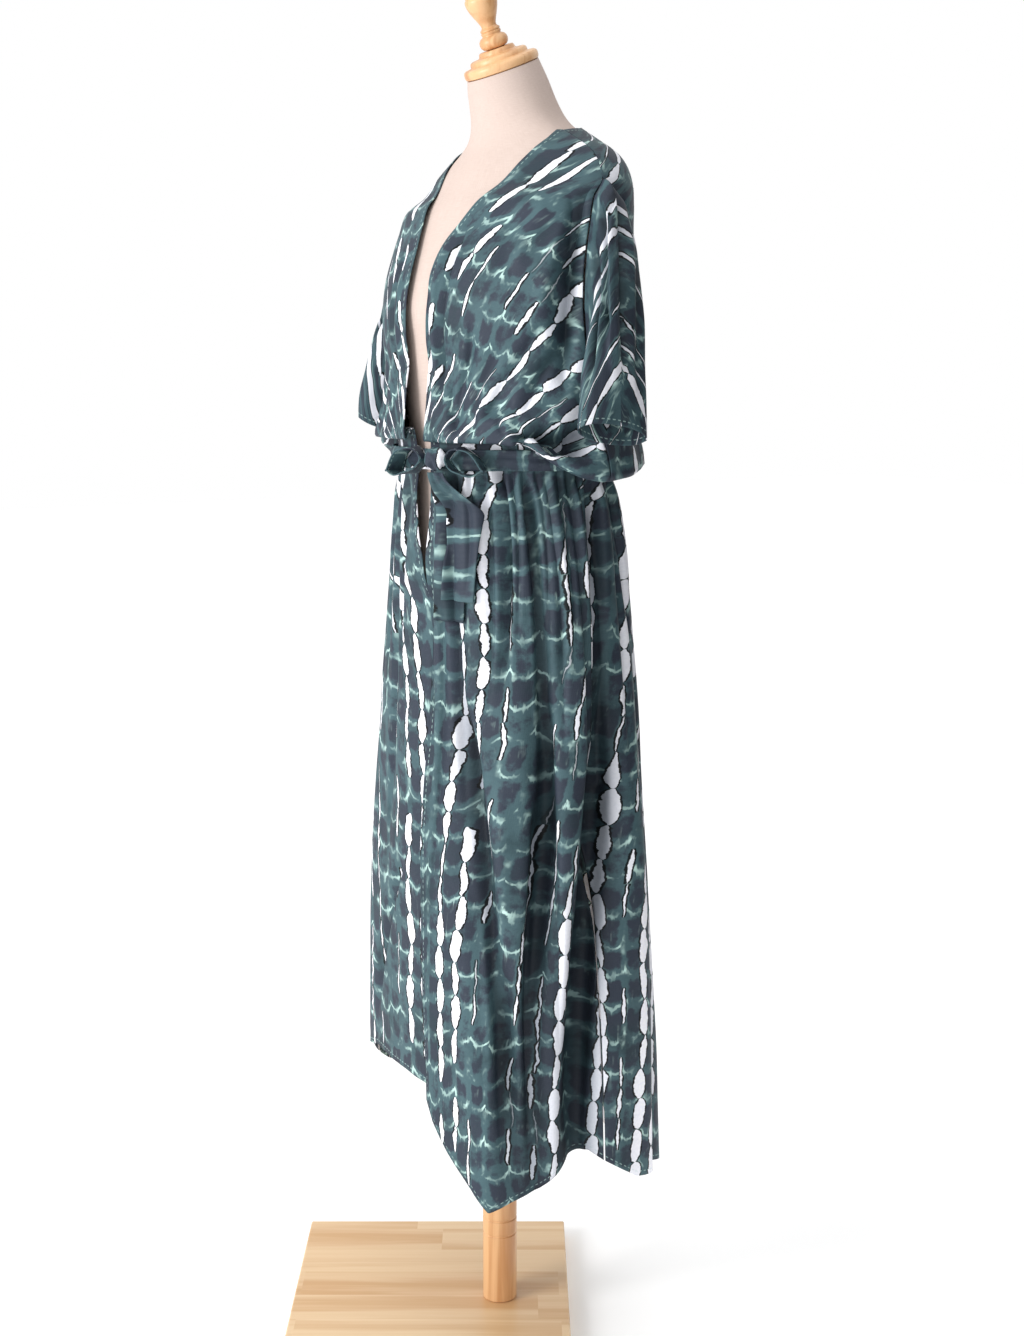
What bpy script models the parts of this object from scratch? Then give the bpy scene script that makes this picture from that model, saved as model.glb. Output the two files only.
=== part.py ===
"""An open kimono coat with a tied belt, worn by a limbless dress form on a wooden stand.

Metres, +Z up. The wearer faces -Y and the wearer's left is +X. The origin is on the floor,
under the axis of the pole. Angles round the coat are in degrees: 0 is the centre front,
+90 the wearer's left side and 180 the centre back.
"""

import math
from typing import NamedTuple

import bmesh
import bpy
from mathutils import Matrix, Vector

# Driving sizes of the cloth
WALL = 0.002
SEAM_GAP = 0.0009
SEAT_GAP = 0.0014
SIDE_ANGLE = 90.0
FRONT_COLUMNS = 16
BACK_COLUMNS = 36
COAT_CENTRE_Y = 0.012
SKIRT_TOP = 1.098
OVERLAP_LIFT = 0.0028
OVERLAP_ANGLE = 50.0
OVERLAP_FADE = 25.0
OVERLAP_ROWS = 3

# Driving sizes of the stand
BOARD_WIDTH = 0.36
BOARD_DEPTH = 0.42
BOARD_HEIGHT = 0.022
BOARD_TURN = 57.0
BOARD_REACH = 0.09
BOARD_EDGE = 0.0015
POLE_RADIUS = 0.022
POLE_EDGE = 0.001
POLE_LINE_HEIGHTS = (0.113, 0.134)
POLE_LINE_DEPTH = 0.0012
POLE_LINE_HALF = 0.0014
POLE_COLUMNS = 18
TOP_COLUMNS = 20
PIECE_GAP = 0.0003
NECK_TOP = Vector((0.0, 0.006, 1.570))
CAP_TILT = 22.0
SHARP_ANGLE = 40.0

# Driving sizes of the belt
BELT_LOW = 1.107
BELT_HIGH = 1.131
BELT_WALL = 0.0018
BELT_GAP = 0.0010
BELT_COLUMNS = 72
BELT_OVERLAP_ANGLE = 55.0
KNOT_ANGLE = 21.0
KNOT_HEIGHT = 1.120
KNOT_SIZE = Vector((0.0150, 0.0110, 0.0150))
KNOT_GAP = 0.0004
BOW_WIDTH = 0.024
BOW_WALL = 0.0016
BOW_GAP = 0.0008
BOW_START = 6.1
BOW_STEPS = 16
BOW_PINCH = 0.10
TAIL_TOP_WIDTH = 0.45
TAIL_ROWS = 10
TAIL_COLUMNS = 5
TAIL_CROWDING = 1.4
TAIL_SPREAD = 0.05
TAIL_RELEASE = 0.01


class FormRing(NamedTuple):
    """One level of the dress form: height, half width, front and back depth, centre, slope.

    A slope above 1 flattens the front between its middle and the side, as below a shoulder.
    """

    z: float
    side: float
    front: float
    back: float
    centre_y: float
    slope: float = 1.0


FORM_RINGS = (
    FormRing(0.745, 0.150, 0.100, 0.115, 0.010),
    FormRing(0.800, 0.160, 0.105, 0.125, 0.010),
    FormRing(0.880, 0.168, 0.112, 0.130, 0.010),
    FormRing(0.960, 0.158, 0.112, 0.120, 0.010),
    FormRing(1.040, 0.138, 0.110, 0.102, 0.010),
    FormRing(1.110, 0.124, 0.108, 0.092, 0.008),
    FormRing(1.180, 0.130, 0.110, 0.093, 0.004),
    FormRing(1.250, 0.142, 0.113, 0.100, 0.002),
    FormRing(1.295, 0.148, 0.117, 0.105, 0.002),
    FormRing(1.340, 0.154, 0.110, 0.116, 0.006),
    FormRing(1.385, 0.166, 0.096, 0.118, 0.012, 1.05),
    FormRing(1.410, 0.174, 0.087, 0.116, 0.016, 1.15),
    FormRing(1.430, 0.180, 0.078, 0.112, 0.020, 1.3),
    FormRing(1.452, 0.165, 0.070, 0.105, 0.024, 1.4),
    FormRing(1.468, 0.142, 0.064, 0.098, 0.027, 1.45),
    FormRing(1.480, 0.115, 0.060, 0.090, 0.029, 1.4),
    FormRing(1.492, 0.088, 0.058, 0.078, 0.030, 1.3),
    FormRing(1.508, 0.068, 0.054, 0.060, 0.028, 1.1),
    FormRing(1.535, 0.055, 0.051, 0.051, 0.020),
)
FORM_COLUMNS = 30
NECK_RADIUS = 0.0440


class CoatRow(NamedTuple):
    """One level of the coat's upper body: heights at front, side and back, then its half sizes."""

    z_front: float
    z_side: float
    z_back: float
    side: float
    front: float
    back: float
    gather: float


# From the shoulder down to the fold of the waist pouch, up inside it and down past the belt
BODY_ROWS = (
    CoatRow(1.410, 1.410, 1.410, 0.1870, 0.0880, 0.1235, 0.0),
    CoatRow(1.385, 1.385, 1.385, 0.1880, 0.1020, 0.1225, 0.0),
    CoatRow(1.360, 1.360, 1.360, 0.1880, 0.1150, 0.1230, 0.0),
    CoatRow(1.325, 1.325, 1.325, 0.1880, 0.1290, 0.1240, 0.0),
    CoatRow(1.290, 1.290, 1.290, 0.1870, 0.1350, 0.1240, 0.0),
    CoatRow(1.255, 1.255, 1.255, 0.1860, 0.1350, 0.1240, 0.0),
    CoatRow(1.228, 1.228, 1.228, 0.1850, 0.1320, 0.1250, 0.0),
    CoatRow(1.205, 1.208, 1.205, 0.1850, 0.1350, 0.1270, 0.0010),
    CoatRow(1.182, 1.172, 1.175, 0.1900, 0.1370, 0.1290, 0.0016),
    CoatRow(1.160, 1.140, 1.145, 0.1990, 0.1390, 0.1300, 0.0018),
    CoatRow(1.147, 1.116, 1.124, 0.2090, 0.1400, 0.1300, 0.0014),
    CoatRow(1.141, 1.101, 1.114, 0.2115, 0.1395, 0.1290, 0.0006),
    CoatRow(1.141, 1.098, 1.111, 0.2010, 0.1380, 0.1250, 0.0),
    CoatRow(1.147, 1.122, 1.128, 0.1740, 0.1350, 0.1200, 0.0),
    CoatRow(1.153, 1.156, 1.156, 0.1530, 0.1310, 0.1160, 0.0),
    CoatRow(1.138, 1.138, 1.138, 0.1480, 0.1280, 0.1120, 0.0),
    CoatRow(1.118, 1.118, 1.118, 0.1480, 0.1280, 0.1120, 0.0),
)

# Heights of the rows that lie on the shoulders of the form, at the side and at the back
SHOULDER_ROWS = (
    (1.4910, 1.5040),
    (1.4800, 1.4800),
    (1.4680, 1.4680),
    (1.4520, 1.4520),
    (1.4300, 1.4300),
)

# How far from the side seam, in degrees, the pouch hangs low
POUCH_REACH = 50.0


class SkirtRing(NamedTuple):
    """One level of the skirt: height, half width, front and back depth."""

    z: float
    side: float
    front: float
    back: float


SKIRT_RINGS = (
    SkirtRing(1.098, 0.1485, 0.1280, 0.1125),
    SkirtRing(1.060, 0.1600, 0.1300, 0.1200),
    SkirtRing(1.000, 0.1740, 0.1340, 0.1280),
    SkirtRing(0.920, 0.1860, 0.1370, 0.1350),
    SkirtRing(0.800, 0.2000, 0.1420, 0.1440),
    SkirtRing(0.650, 0.2110, 0.1470, 0.1540),
    SkirtRing(0.450, 0.2190, 0.1520, 0.1670),
    SkirtRing(0.200, 0.2240, 0.1550, 0.1800),
)
SKIRT_SHARES = (0.0, 0.04, 0.09, 0.16, 0.25, 0.36, 0.48, 0.60, 0.72, 0.83, 0.92, 1.0)

# Hem heights by angle, on the wearer's left and right
HEM_LEFT = ((0, 0.365), (12, 0.360), (17, 0.318), (24, 0.287), (34, 0.253), (40, 0.226))
HEM_LEFT += ((50, 0.240), (60, 0.257), (74, 0.295), (84, 0.301), (104, 0.260), (128, 0.245))
HEM_LEFT += ((150, 0.220), (180, 0.205))
HEM_RIGHT = ((0, 0.365), (24, 0.366), (40, 0.350), (60, 0.302), (90, 0.262), (105, 0.258))
HEM_RIGHT += ((140, 0.222), (180, 0.205))


class Fold(NamedTuple):
    """One hanging fold of the skirt: angle at the belt and at the hem, depth, width, start."""

    top_angle: float
    hem_angle: float
    depth: float
    width: float
    start_z: float


SKIRT_FOLDS = (
    Fold(16.0, 48.0, 0.013, 7.0, 1.02),
    Fold(62.0, 58.0, 0.016, 6.5, 1.09),
    Fold(104.0, 78.0, 0.027, 11.0, 1.08),
    Fold(130.0, 126.0, 0.017, 8.0, 1.04),
    Fold(150.0, 154.0, 0.015, 8.0, 1.08),
    Fold(178.0, 180.0, 0.013, 8.0, 1.00),
    Fold(-152.0, -154.0, 0.016, 8.0, 1.06),
    Fold(-127.0, -126.0, 0.016, 8.0, 1.08),
    Fold(-99.0, -94.0, 0.028, 10.0, 1.05),
    Fold(-60.0, -66.0, 0.016, 8.0, 1.09),
    Fold(-34.0, -34.0, -0.007, 9.0, 0.98),
    Fold(34.0, 38.0, -0.008, 8.0, 0.90),
    Fold(112.0, 112.0, -0.008, 8.0, 0.98),
    Fold(-80.0, -80.0, -0.007, 8.0, 0.98),
)
FOLD_FULL_Z = 0.25
FOLD_GROWTH = 0.42
GATHERS = 20
GATHER_DEPTH = 0.0036
GATHER_REACH = 0.17
GATHER_START = 0.14

# The open front: distance of each edge from the middle, by height
EDGE_LEFT = ((0.20, 0.056), (0.36, 0.053), (0.65, 0.037), (0.79, 0.044), (0.92, 0.044))
EDGE_LEFT += ((1.00, 0.030), (1.10, 0.033), (1.16, 0.035), (1.345, 0.034), (1.362, 0.039))
EDGE_LEFT += ((1.390, 0.055), (1.416, 0.069), (1.452, 0.086), (1.475, 0.094), (1.491, 0.096))
EDGE_RIGHT = ((0.20, 0.078), (0.85, 0.070), (0.95, 0.046), (0.98, 0.022), (1.03, 0.008))
EDGE_RIGHT += ((1.10, 0.000), (1.16, -0.006), (1.345, -0.012), (1.390, -0.032), (1.416, -0.045))
EDGE_RIGHT += ((1.452, -0.068), (1.475, -0.088), (1.491, -0.096))
EDGE_LIMIT = 78.0
EDGE_HALVINGS = 20

# The armhole, and the sleeve that hangs from it
ARMHOLE_TOP = 1.430
ARMHOLE_LOW = 1.208
ARMHOLE_FRONT_ANGLE = 8.0
ARMHOLE_BACK_ANGLE = 24.0
ARMHOLE_LAST_ROW = len(SHOULDER_ROWS) + 7
SLEEVE_RIM_GAP = 0.0012
SLEEVE_RINGS = 10
CUFF_CENTRE = Vector((0.250, -0.012, 1.151))
CUFF_HALF_THICKNESS = 0.015
CUFF_HALF_WIDTH = 0.045
CUFF_FLATNESS = 0.75
CUFF_RISE = 0.010
CUFF_SLANT = 0.008
SLEEVE_SHOULDER_REACH = 0.046
SLEEVE_SHOULDER_RISE = 0.008
SLEEVE_UNDERARM_REACH = 0.040
SLEEVE_DROP_LEAD = 0.130
SLEEVE_UNDERARM_LEAD = 0.030
SLEEVE_CREASE_DEPTH = 0.007
SLEEVE_CREASE_PLACE = 0.13
SLEEVE_CREASE_WIDTH = 0.05


def blended(table, at):
    """The value of a two-column table at a place, along straight lines between its rows."""
    if at <= table[0][0]:
        return table[0][1]
    for (low, first), (high, second) in zip(table, table[1:]):
        if at <= high:
            return first + (second - first) * (at - low) / (high - low)
    return table[-1][1]


def ring_at(rings, z, column):
    """One size of a ring table at a height."""
    table = [(ring.z, getattr(ring, column)) for ring in rings]
    table.sort()
    return blended(table, z)


def smooth(share):
    """A soft step from 0 to 1."""
    share = min(max(share, 0.0), 1.0)
    return share * share * (3.0 - 2.0 * share)


def oval(angle, side, front, back, centre_y, z, slope=1.0):
    """A point of an oval whose front and back halves differ in depth."""
    turn = math.radians(angle)
    wide = math.sin(turn)
    deep = math.cos(turn)
    if deep <= 0.0:
        return Vector((side * wide, centre_y - back * deep, z))
    flat = math.copysign(abs(wide) ** slope, wide)
    return Vector((side * flat, centre_y - front * deep**slope, z))


def outward(angle):
    """The level direction that points away from the axis at an angle."""
    turn = math.radians(angle)
    return Vector((math.sin(turn), -math.cos(turn), 0.0))


def turned(angle):
    """An angle brought between -180 and 180 degrees."""
    return (angle + 180.0) % 360.0 - 180.0


# The dress form


def form_point(angle, z, grow=0.0):
    """A point on the dress form below its neck, moved out by grow."""
    names = ("side", "front", "back", "centre_y")
    sizes = [ring_at(FORM_RINGS, z, name) for name in names]
    point = oval(angle, *sizes, z, ring_at(FORM_RINGS, z, "slope"))
    return point + outward(angle) * grow


def around(count):
    """Even angles all round."""
    return [360.0 * step / count for step in range(count)]


def neck_ring(share):
    """A ring of the neck, from the top ring of the form to the tilted face under the cap."""
    low = FORM_RINGS[-1]
    tilt = Matrix.Rotation(math.radians(CAP_TILT * share), 4, "X")
    centre = Vector((0.0, low.centre_y, low.z)).lerp(NECK_TOP, share)
    ring = []
    for angle in around(FORM_COLUMNS):
        side = low.side + (NECK_RADIUS - low.side) * share
        depth = low.front + (NECK_RADIUS - low.front) * share
        flat = oval(angle, side, depth, depth, 0.0, 0.0)
        ring.append(centre + tilt @ flat)
    return ring


# The coat's surface


def skirt_fold(angle, z):
    """How far the folds push the skirt out or in."""
    moved = 0.0
    for fold in SKIRT_FOLDS:
        fall = smooth((SKIRT_TOP - z) / (SKIRT_TOP - FOLD_FULL_Z))
        middle = fold.top_angle + (fold.hem_angle - fold.top_angle) * fall
        off = turned(angle - middle) / fold.width
        grown = smooth((fold.start_z - z) / FOLD_GROWTH)
        moved -= fold.depth * math.exp(-off * off) * grown
    return moved


def skirt_gather(angle, z):
    """The small gathers under the belt, which fade downwards."""
    below = (SKIRT_TOP - z) / GATHER_REACH
    strength = smooth(below / GATHER_START) * smooth(1.0 - below)
    return GATHER_DEPTH * strength * math.cos(math.radians(GATHERS * angle))


def hem_height(angle):
    """The height of the hem at an angle."""
    angle = turned(angle)
    return blended(HEM_LEFT if angle >= 0.0 else HEM_RIGHT, abs(angle))


def skirt_point(angle, share, lift=0.0):
    """A point of the skirt's inner face, share of the way from the belt to the hem."""
    z = SKIRT_TOP + (hem_height(angle) - SKIRT_TOP) * share
    sizes = [ring_at(SKIRT_RINGS, z, name) for name in ("side", "front", "back")]
    point = oval(angle, *sizes, COAT_CENTRE_Y, z)
    return point + outward(angle) * (skirt_fold(angle, z) + skirt_gather(angle, z) + lift)


def body_point(angle, row, lift=0.0):
    """A point of the upper body's inner face."""
    off = abs(turned(angle)) - SIDE_ANGLE
    z_middle = row.z_back if off > 0.0 else row.z_front
    z = row.z_side + (z_middle - row.z_side) * smooth(abs(off) / POUCH_REACH)
    point = oval(angle, row.side, row.front, row.back, COAT_CENTRE_Y, z)
    ripple = row.gather * math.cos(math.radians(GATHERS * angle))
    return point + outward(angle) * (ripple + lift)


def shoulder_point(angle, row, lift=0.0):
    """A point of the coat where it lies on the shoulders of the form."""
    z_side, z_back = row
    away = max(-math.cos(math.radians(angle)), 0.0)
    z = z_side + (z_back - z_side) * away
    point = form_point(angle, z, SEAT_GAP + lift)
    point.z += SEAT_GAP
    return point


ROWS = [(shoulder_point, row) for row in SHOULDER_ROWS]
ROWS += [(body_point, row) for row in BODY_ROWS]
ROWS += [(skirt_point, share) for share in SKIRT_SHARES]
SKIRT_START = len(SHOULDER_ROWS) + len(BODY_ROWS)


def coat_point(angle, index, lift=0.0):
    """The point of the coat's inner face at an angle on one of its rows."""
    surface, row = ROWS[index]
    return surface(angle, row, lift)


def armhole_depth(index):
    """How deep the armhole is on a row, from 0 at its ends to 1 at its middle."""
    z = coat_point(SIDE_ANGLE, index).z
    middle = (ARMHOLE_TOP + ARMHOLE_LOW) / 2
    half = (ARMHOLE_TOP - ARMHOLE_LOW) / 2
    inside = 1.0 - ((z - middle) / half) ** 2
    if inside <= 0.0 or index > ARMHOLE_LAST_ROW:
        return 0.0
    return math.sqrt(inside)


def edge_angle(index, edge):
    """The angle at which a row meets the open front edge."""
    low = -EDGE_LIMIT
    high = EDGE_LIMIT
    for _ in range(EDGE_HALVINGS):
        middle = (low + high) / 2
        point = coat_point(middle, index)
        if point.x < blended(edge, point.z):
            low = middle
        else:
            high = middle
    return high


def seam_inset(index):
    """Half of the gap at a side seam, as an angle."""
    return math.degrees(SEAM_GAP / coat_point(SIDE_ANGLE, index).x)


# Meshes


def material(name, colour, roughness):
    """A plain finish."""
    made = bpy.data.materials.new(name)
    made.use_nodes = True
    shader = made.node_tree.nodes["Principled BSDF"]
    shader.inputs["Base Color"].default_value = (*colour, 1.0)
    shader.inputs["Roughness"].default_value = roughness
    return made


def add_object(name, bm, finish):
    """An object from a bmesh, shaded smooth, with its finish."""
    mesh = bpy.data.meshes.new(name)
    bm.to_mesh(mesh)
    bm.free()
    mesh.shade_smooth()
    mesh.materials.append(finish)
    made = bpy.data.objects.new(name, mesh)
    bpy.context.scene.collection.objects.link(made)
    return made


def sheet_mesh(rows, closed=False):
    """A grid of faces through rows of points."""
    bm = bmesh.new()
    grid = [[bm.verts.new(point) for point in row] for row in rows]
    count = len(grid[0])
    for upper, lower in zip(grid, grid[1:]):
        for step in range(count if closed else count - 1):
            after = (step + 1) % count
            bm.faces.new((upper[step], lower[step], lower[after], upper[after]))
    return bm


def add_cloth(name, rows, finish, wall, grows_out, closed=False):
    """A cloth wall: a grid of points given its thickness."""
    bm = sheet_mesh(rows, closed)
    made = add_object(name, bm, finish)
    thick = made.modifiers.new("wall", "SOLIDIFY")
    thick.thickness = wall
    thick.offset = 1.0 if grows_out else -1.0
    return made


def add_lofted(name, rings, finish):
    """A solid through closed rings, with a flat cap at each end."""
    bm = sheet_mesh(rings, closed=True)
    bmesh.ops.holes_fill(bm, edges=bm.edges)
    bmesh.ops.recalc_face_normals(bm, faces=bm.faces)
    made = add_object(name, bm, finish)
    made.data.set_sharp_from_angle(angle=math.radians(SHARP_ANGLE))
    return made


# The stand


def add_board(finish):
    """The board, with softly rounded edges."""
    bm = bmesh.new()
    bmesh.ops.create_cube(bm, size=1.0)
    bmesh.ops.scale(bm, verts=bm.verts, vec=(BOARD_WIDTH, BOARD_DEPTH, BOARD_HEIGHT))
    bmesh.ops.bevel(
        bm, geom=bm.edges, offset=BOARD_EDGE, segments=1, affect="EDGES", profile=0.5, material=-1
    )
    middle = BOARD_REACH - BOARD_WIDTH / 2
    bmesh.ops.translate(bm, verts=bm.verts, vec=(middle, 0.0, BOARD_HEIGHT / 2))
    turn = Matrix.Rotation(math.radians(BOARD_TURN), 4, "Z")
    bmesh.ops.transform(bm, verts=bm.verts, matrix=turn)
    add_object("base_board", bm, finish)


def turned_rings(profile, count):
    """Level rings from a list of radius and height."""
    return [
        [outward(angle) * radius + Vector((0.0, 0.0, z)) for angle in around(count)]
        for radius, z in profile
    ]


def add_pole(finish):
    """The round post with its two turned lines."""
    low = BOARD_HEIGHT + PIECE_GAP
    high = FORM_RINGS[0].z - PIECE_GAP
    profile = [(POLE_RADIUS - POLE_EDGE, low), (POLE_RADIUS, low + POLE_EDGE)]
    for z in POLE_LINE_HEIGHTS:
        profile += [(POLE_RADIUS, z - POLE_LINE_HALF), (POLE_RADIUS - POLE_LINE_DEPTH, z)]
        profile.append((POLE_RADIUS, z + POLE_LINE_HALF))
    profile.append((POLE_RADIUS, high))
    add_lofted("pole", turned_rings(profile, POLE_COLUMNS), finish)


def add_form(finish):
    """The limbless form, from its hip to the tilted top of its neck."""
    rings = [[form_point(angle, ring.z) for angle in around(FORM_COLUMNS)] for ring in FORM_RINGS]
    rings += [neck_ring(share) for share in (0.5, 1.0)]
    add_lofted("dress_form", rings, finish)


CAP_PROFILE = (
    (0.0440, 0.0003),
    (0.0450, 0.0030),
    (0.0450, 0.0085),
    (0.0425, 0.0110),
    (0.0345, 0.0125),
    (0.0335, 0.0150),
    (0.0330, 0.0185),
    (0.0225, 0.0205),
    (0.0210, 0.0225),
    (0.0205, 0.0255),
)
FINIAL_PROFILE = (
    (0.0100, 0.0258),
    (0.0160, 0.0290),
    (0.0172, 0.0340),
    (0.0150, 0.0390),
    (0.0112, 0.0415),
    (0.0116, 0.0440),
    (0.0118, 0.0465),
    (0.0108, 0.0490),
    (0.0090, 0.0520),
    (0.0105, 0.0570),
    (0.0150, 0.0660),
    (0.0186, 0.0760),
    (0.0194, 0.0810),
    (0.0180, 0.0850),
    (0.0164, 0.0870),
    (0.0160, 0.0900),
    (0.0140, 0.0970),
    (0.0090, 0.1030),
    (0.0030, 0.1055),
)


def add_turned_top(name, profile, finish):
    """A turned piece on the tilted top of the neck."""
    rings = turned_rings(profile, TOP_COLUMNS)
    tilt = Matrix.Translation(NECK_TOP) @ Matrix.Rotation(math.radians(CAP_TILT), 4, "X")
    add_lofted(name, [[tilt @ point for point in ring] for ring in rings], finish)


# The coat


def front_rows(sign, edge, lift):
    """The rows of a front panel, from its open edge to its side seam.

    From just above the belt down, the lift moves the cloth near the edge, where the fronts lap.
    """
    rows = []
    for index in range(len(ROWS)):
        start = edge_angle(index, edge)
        stop = SIDE_ANGLE - ARMHOLE_FRONT_ANGLE * armhole_depth(index) - seam_inset(index)
        row = []
        for step in range(FRONT_COLUMNS + 1):
            angle = start + (stop - start) * step / FRONT_COLUMNS
            near_edge = smooth((OVERLAP_ANGLE - angle) / OVERLAP_FADE)
            moved = lift * near_edge if index >= SKIRT_START - OVERLAP_ROWS else 0.0
            row.append(coat_point(sign * angle, index, moved))
        rows.append(row)
    return rows


def add_front(name, sign, edge, lift, finish):
    """A front panel on one side."""
    rows = front_rows(sign, edge, lift)
    if sign < 0:
        rows = [list(reversed(row)) for row in rows]
    return add_cloth(name, rows, finish, WALL, grows_out=True)


def add_back(finish):
    """The back panel, from one side seam round to the other."""
    rows = []
    for index in range(len(ROWS)):
        start = SIDE_ANGLE + ARMHOLE_BACK_ANGLE * armhole_depth(index) + seam_inset(index)
        stop = 360.0 - start
        width = (stop - start) / BACK_COLUMNS
        rows.append([coat_point(start + width * k, index) for k in range(BACK_COLUMNS + 1)])
    add_cloth("back", rows, finish, WALL, grows_out=True)


def armhole_rows():
    """The rows that the armhole cuts, top to bottom."""
    return [index for index in range(SKIRT_START) if armhole_depth(index) > 0.0]


def armhole_loop():
    """The points of the sleeve's root, just inside the armhole: top, front, bottom, back."""
    cut = armhole_rows()
    inset = math.degrees(SLEEVE_RIM_GAP / BODY_ROWS[0].side)
    top = coat_point(SIDE_ANGLE, cut[0] - 1) + Vector((0.0, 0.0, -SLEEVE_RIM_GAP))
    low = coat_point(SIDE_ANGLE, cut[-1] + 1) + Vector((0.0, 0.0, SLEEVE_RIM_GAP))
    front = []
    back = []
    for index in cut:
        depth = armhole_depth(index)
        front.append(coat_point(SIDE_ANGLE - ARMHOLE_FRONT_ANGLE * depth + inset, index))
        back.append(coat_point(SIDE_ANGLE + ARMHOLE_BACK_ANGLE * depth - inset, index))
    return [top, *front, low, *reversed(back)]


def cuff_point(share):
    """A point of the flattened cuff, share of the way round from its outer ridge."""
    turn = 2.0 * math.pi * share
    out = math.cos(turn)
    along = -math.sin(turn)
    flat = math.copysign(abs(out) ** CUFF_FLATNESS, out)
    drop = CUFF_RISE * out - CUFF_SLANT * along
    return CUFF_CENTRE + Vector((CUFF_HALF_THICKNESS * flat, CUFF_HALF_WIDTH * along, drop))


def sleeve_point(root, cuff, high, share):
    """A point on a line from the armhole to the cuff, which leaves outwards and hangs down."""
    reach = SLEEVE_UNDERARM_REACH + (SLEEVE_SHOULDER_REACH - SLEEVE_UNDERARM_REACH) * high
    lead = SLEEVE_UNDERARM_LEAD + (SLEEVE_DROP_LEAD - SLEEVE_UNDERARM_LEAD) * high
    leaving = root + Vector((reach, 0.0, SLEEVE_SHOULDER_RISE * high))
    arriving = cuff + Vector((0.0, 0.0, lead))
    rest = 1.0 - share
    point = root * rest**3 + leaving * (3 * rest**2 * share)
    point += arriving * (3 * rest * share**2) + cuff * share**3
    return point


def sleeve_rows(sign):
    """Rings of a sleeve from its root to its cuff."""
    roots = armhole_loop()
    count = len(roots)
    lowest = roots[count // 2].z
    highest = roots[0].z
    rings = []
    for ring in range(SLEEVE_RINGS + 1):
        share = ring / SLEEVE_RINGS
        points = []
        for step, root in enumerate(roots):
            high = (root.z - lowest) / (highest - lowest)
            point = sleeve_point(root, cuff_point(step / count), high, share)
            off = (step / count - SLEEVE_CREASE_PLACE) / SLEEVE_CREASE_WIDTH
            along = smooth(share * 2.0) * smooth(2.0 - share * 2.0)
            point.x -= SLEEVE_CREASE_DEPTH * math.exp(-off * off) * along
            points.append(Vector((sign * point.x, point.y, point.z)))
        rings.append(points if sign < 0 else list(reversed(points)))
    return rings


def add_sleeve(name, sign, finish):
    """A hanging sleeve, open at both ends."""
    add_cloth(name, sleeve_rows(sign), finish, WALL, grows_out=False, closed=True)


# The belt


def belt_ring_point(angle, z, grow):
    """A point round the waist, outside the gathered cloth."""
    row = BODY_ROWS[-1]
    point = oval(angle, row.side, row.front, row.back, COAT_CENTRE_Y, z)
    lift = OVERLAP_LIFT * smooth((BELT_OVERLAP_ANGLE - abs(turned(angle))) / OVERLAP_FADE)
    return point + outward(angle) * (WALL + BELT_GAP + lift + grow)


def add_belt(finish):
    """The belt round the waist."""
    rows = []
    for z in (BELT_HIGH, BELT_LOW):
        rows.append([belt_ring_point(angle, z, 0.0) for angle in around(BELT_COLUMNS)])
    add_cloth("belt", rows, finish, BELT_WALL, grows_out=True, closed=True)


def knot_away():
    """How far the middle of the knot lies from the inner face of the belt."""
    return BELT_WALL + KNOT_SIZE.y + KNOT_GAP


def add_knot(finish):
    """The knot, a soft lump just off the belt."""
    bm = bmesh.new()
    bmesh.ops.create_icosphere(bm, subdivisions=2, radius=1.0)
    bmesh.ops.scale(bm, verts=bm.verts, vec=KNOT_SIZE)
    turn = Matrix.Rotation(math.radians(KNOT_ANGLE), 4, "Z")
    place = Matrix.Translation(belt_ring_point(KNOT_ANGLE, KNOT_HEIGHT, knot_away()))
    bmesh.ops.transform(bm, verts=bm.verts, matrix=place @ turn)
    add_object("belt_knot", bm, finish)


class BowLoop(NamedTuple):
    """A loop of the bow: length round the waist in degrees, height, droop of its end."""

    name: str
    length: float
    height: float
    droop: float


BOW_LOOPS = (
    BowLoop("bow_loop_left", 17.0, 0.033, 0.012),
    BowLoop("bow_loop_right", -21.0, 0.033, 0.016),
)


def bow_outline(loop):
    """Angles and heights round one bow loop: out along the top and back underneath."""
    start = KNOT_ANGLE + math.copysign(BOW_START, loop.length)
    points = []
    for step in range(BOW_STEPS):
        turn = 2.0 * math.pi * (step + 0.5) / BOW_STEPS
        along = (1.0 - math.cos(turn)) / 2.0
        opened = math.sin(math.pi * (BOW_PINCH + (1.0 - BOW_PINCH) * along)) ** 0.5
        swell = math.sin(turn) * opened
        z = KNOT_HEIGHT + swell * loop.height / 2 - loop.droop * along * along
        points.append((start + loop.length * along, z))
    return points


def add_bow(loop, finish):
    """A bow loop: a band that runs out from the knot along the waist and back."""
    outline = bow_outline(loop)
    rows = []
    for share in (0.0, 0.5, 1.0):
        away = BELT_WALL + BOW_GAP + BOW_WIDTH * share
        rows.append([belt_ring_point(angle, z, away) for angle, z in outline])
    if loop.length > 0:
        rows.reverse()
    add_cloth(loop.name, rows, finish, BOW_WALL, grows_out=False, closed=True)


def tail_point(x, z, away):
    """A point in front of the coat, at a distance from its outer face."""
    sizes = [ring_at(SKIRT_RINGS, z, name) for name in ("side", "front", "back")]
    angle = math.degrees(math.asin(min(max(x / sizes[0], -1.0), 1.0)))
    below = smooth((SKIRT_TOP - z) / TAIL_RELEASE)
    out = (skirt_fold(angle, z) + skirt_gather(angle, z)) * below
    point = oval(angle, *sizes, COAT_CENTRE_Y, z)
    return point + outward(angle) * (out + WALL + OVERLAP_LIFT + away)


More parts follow.
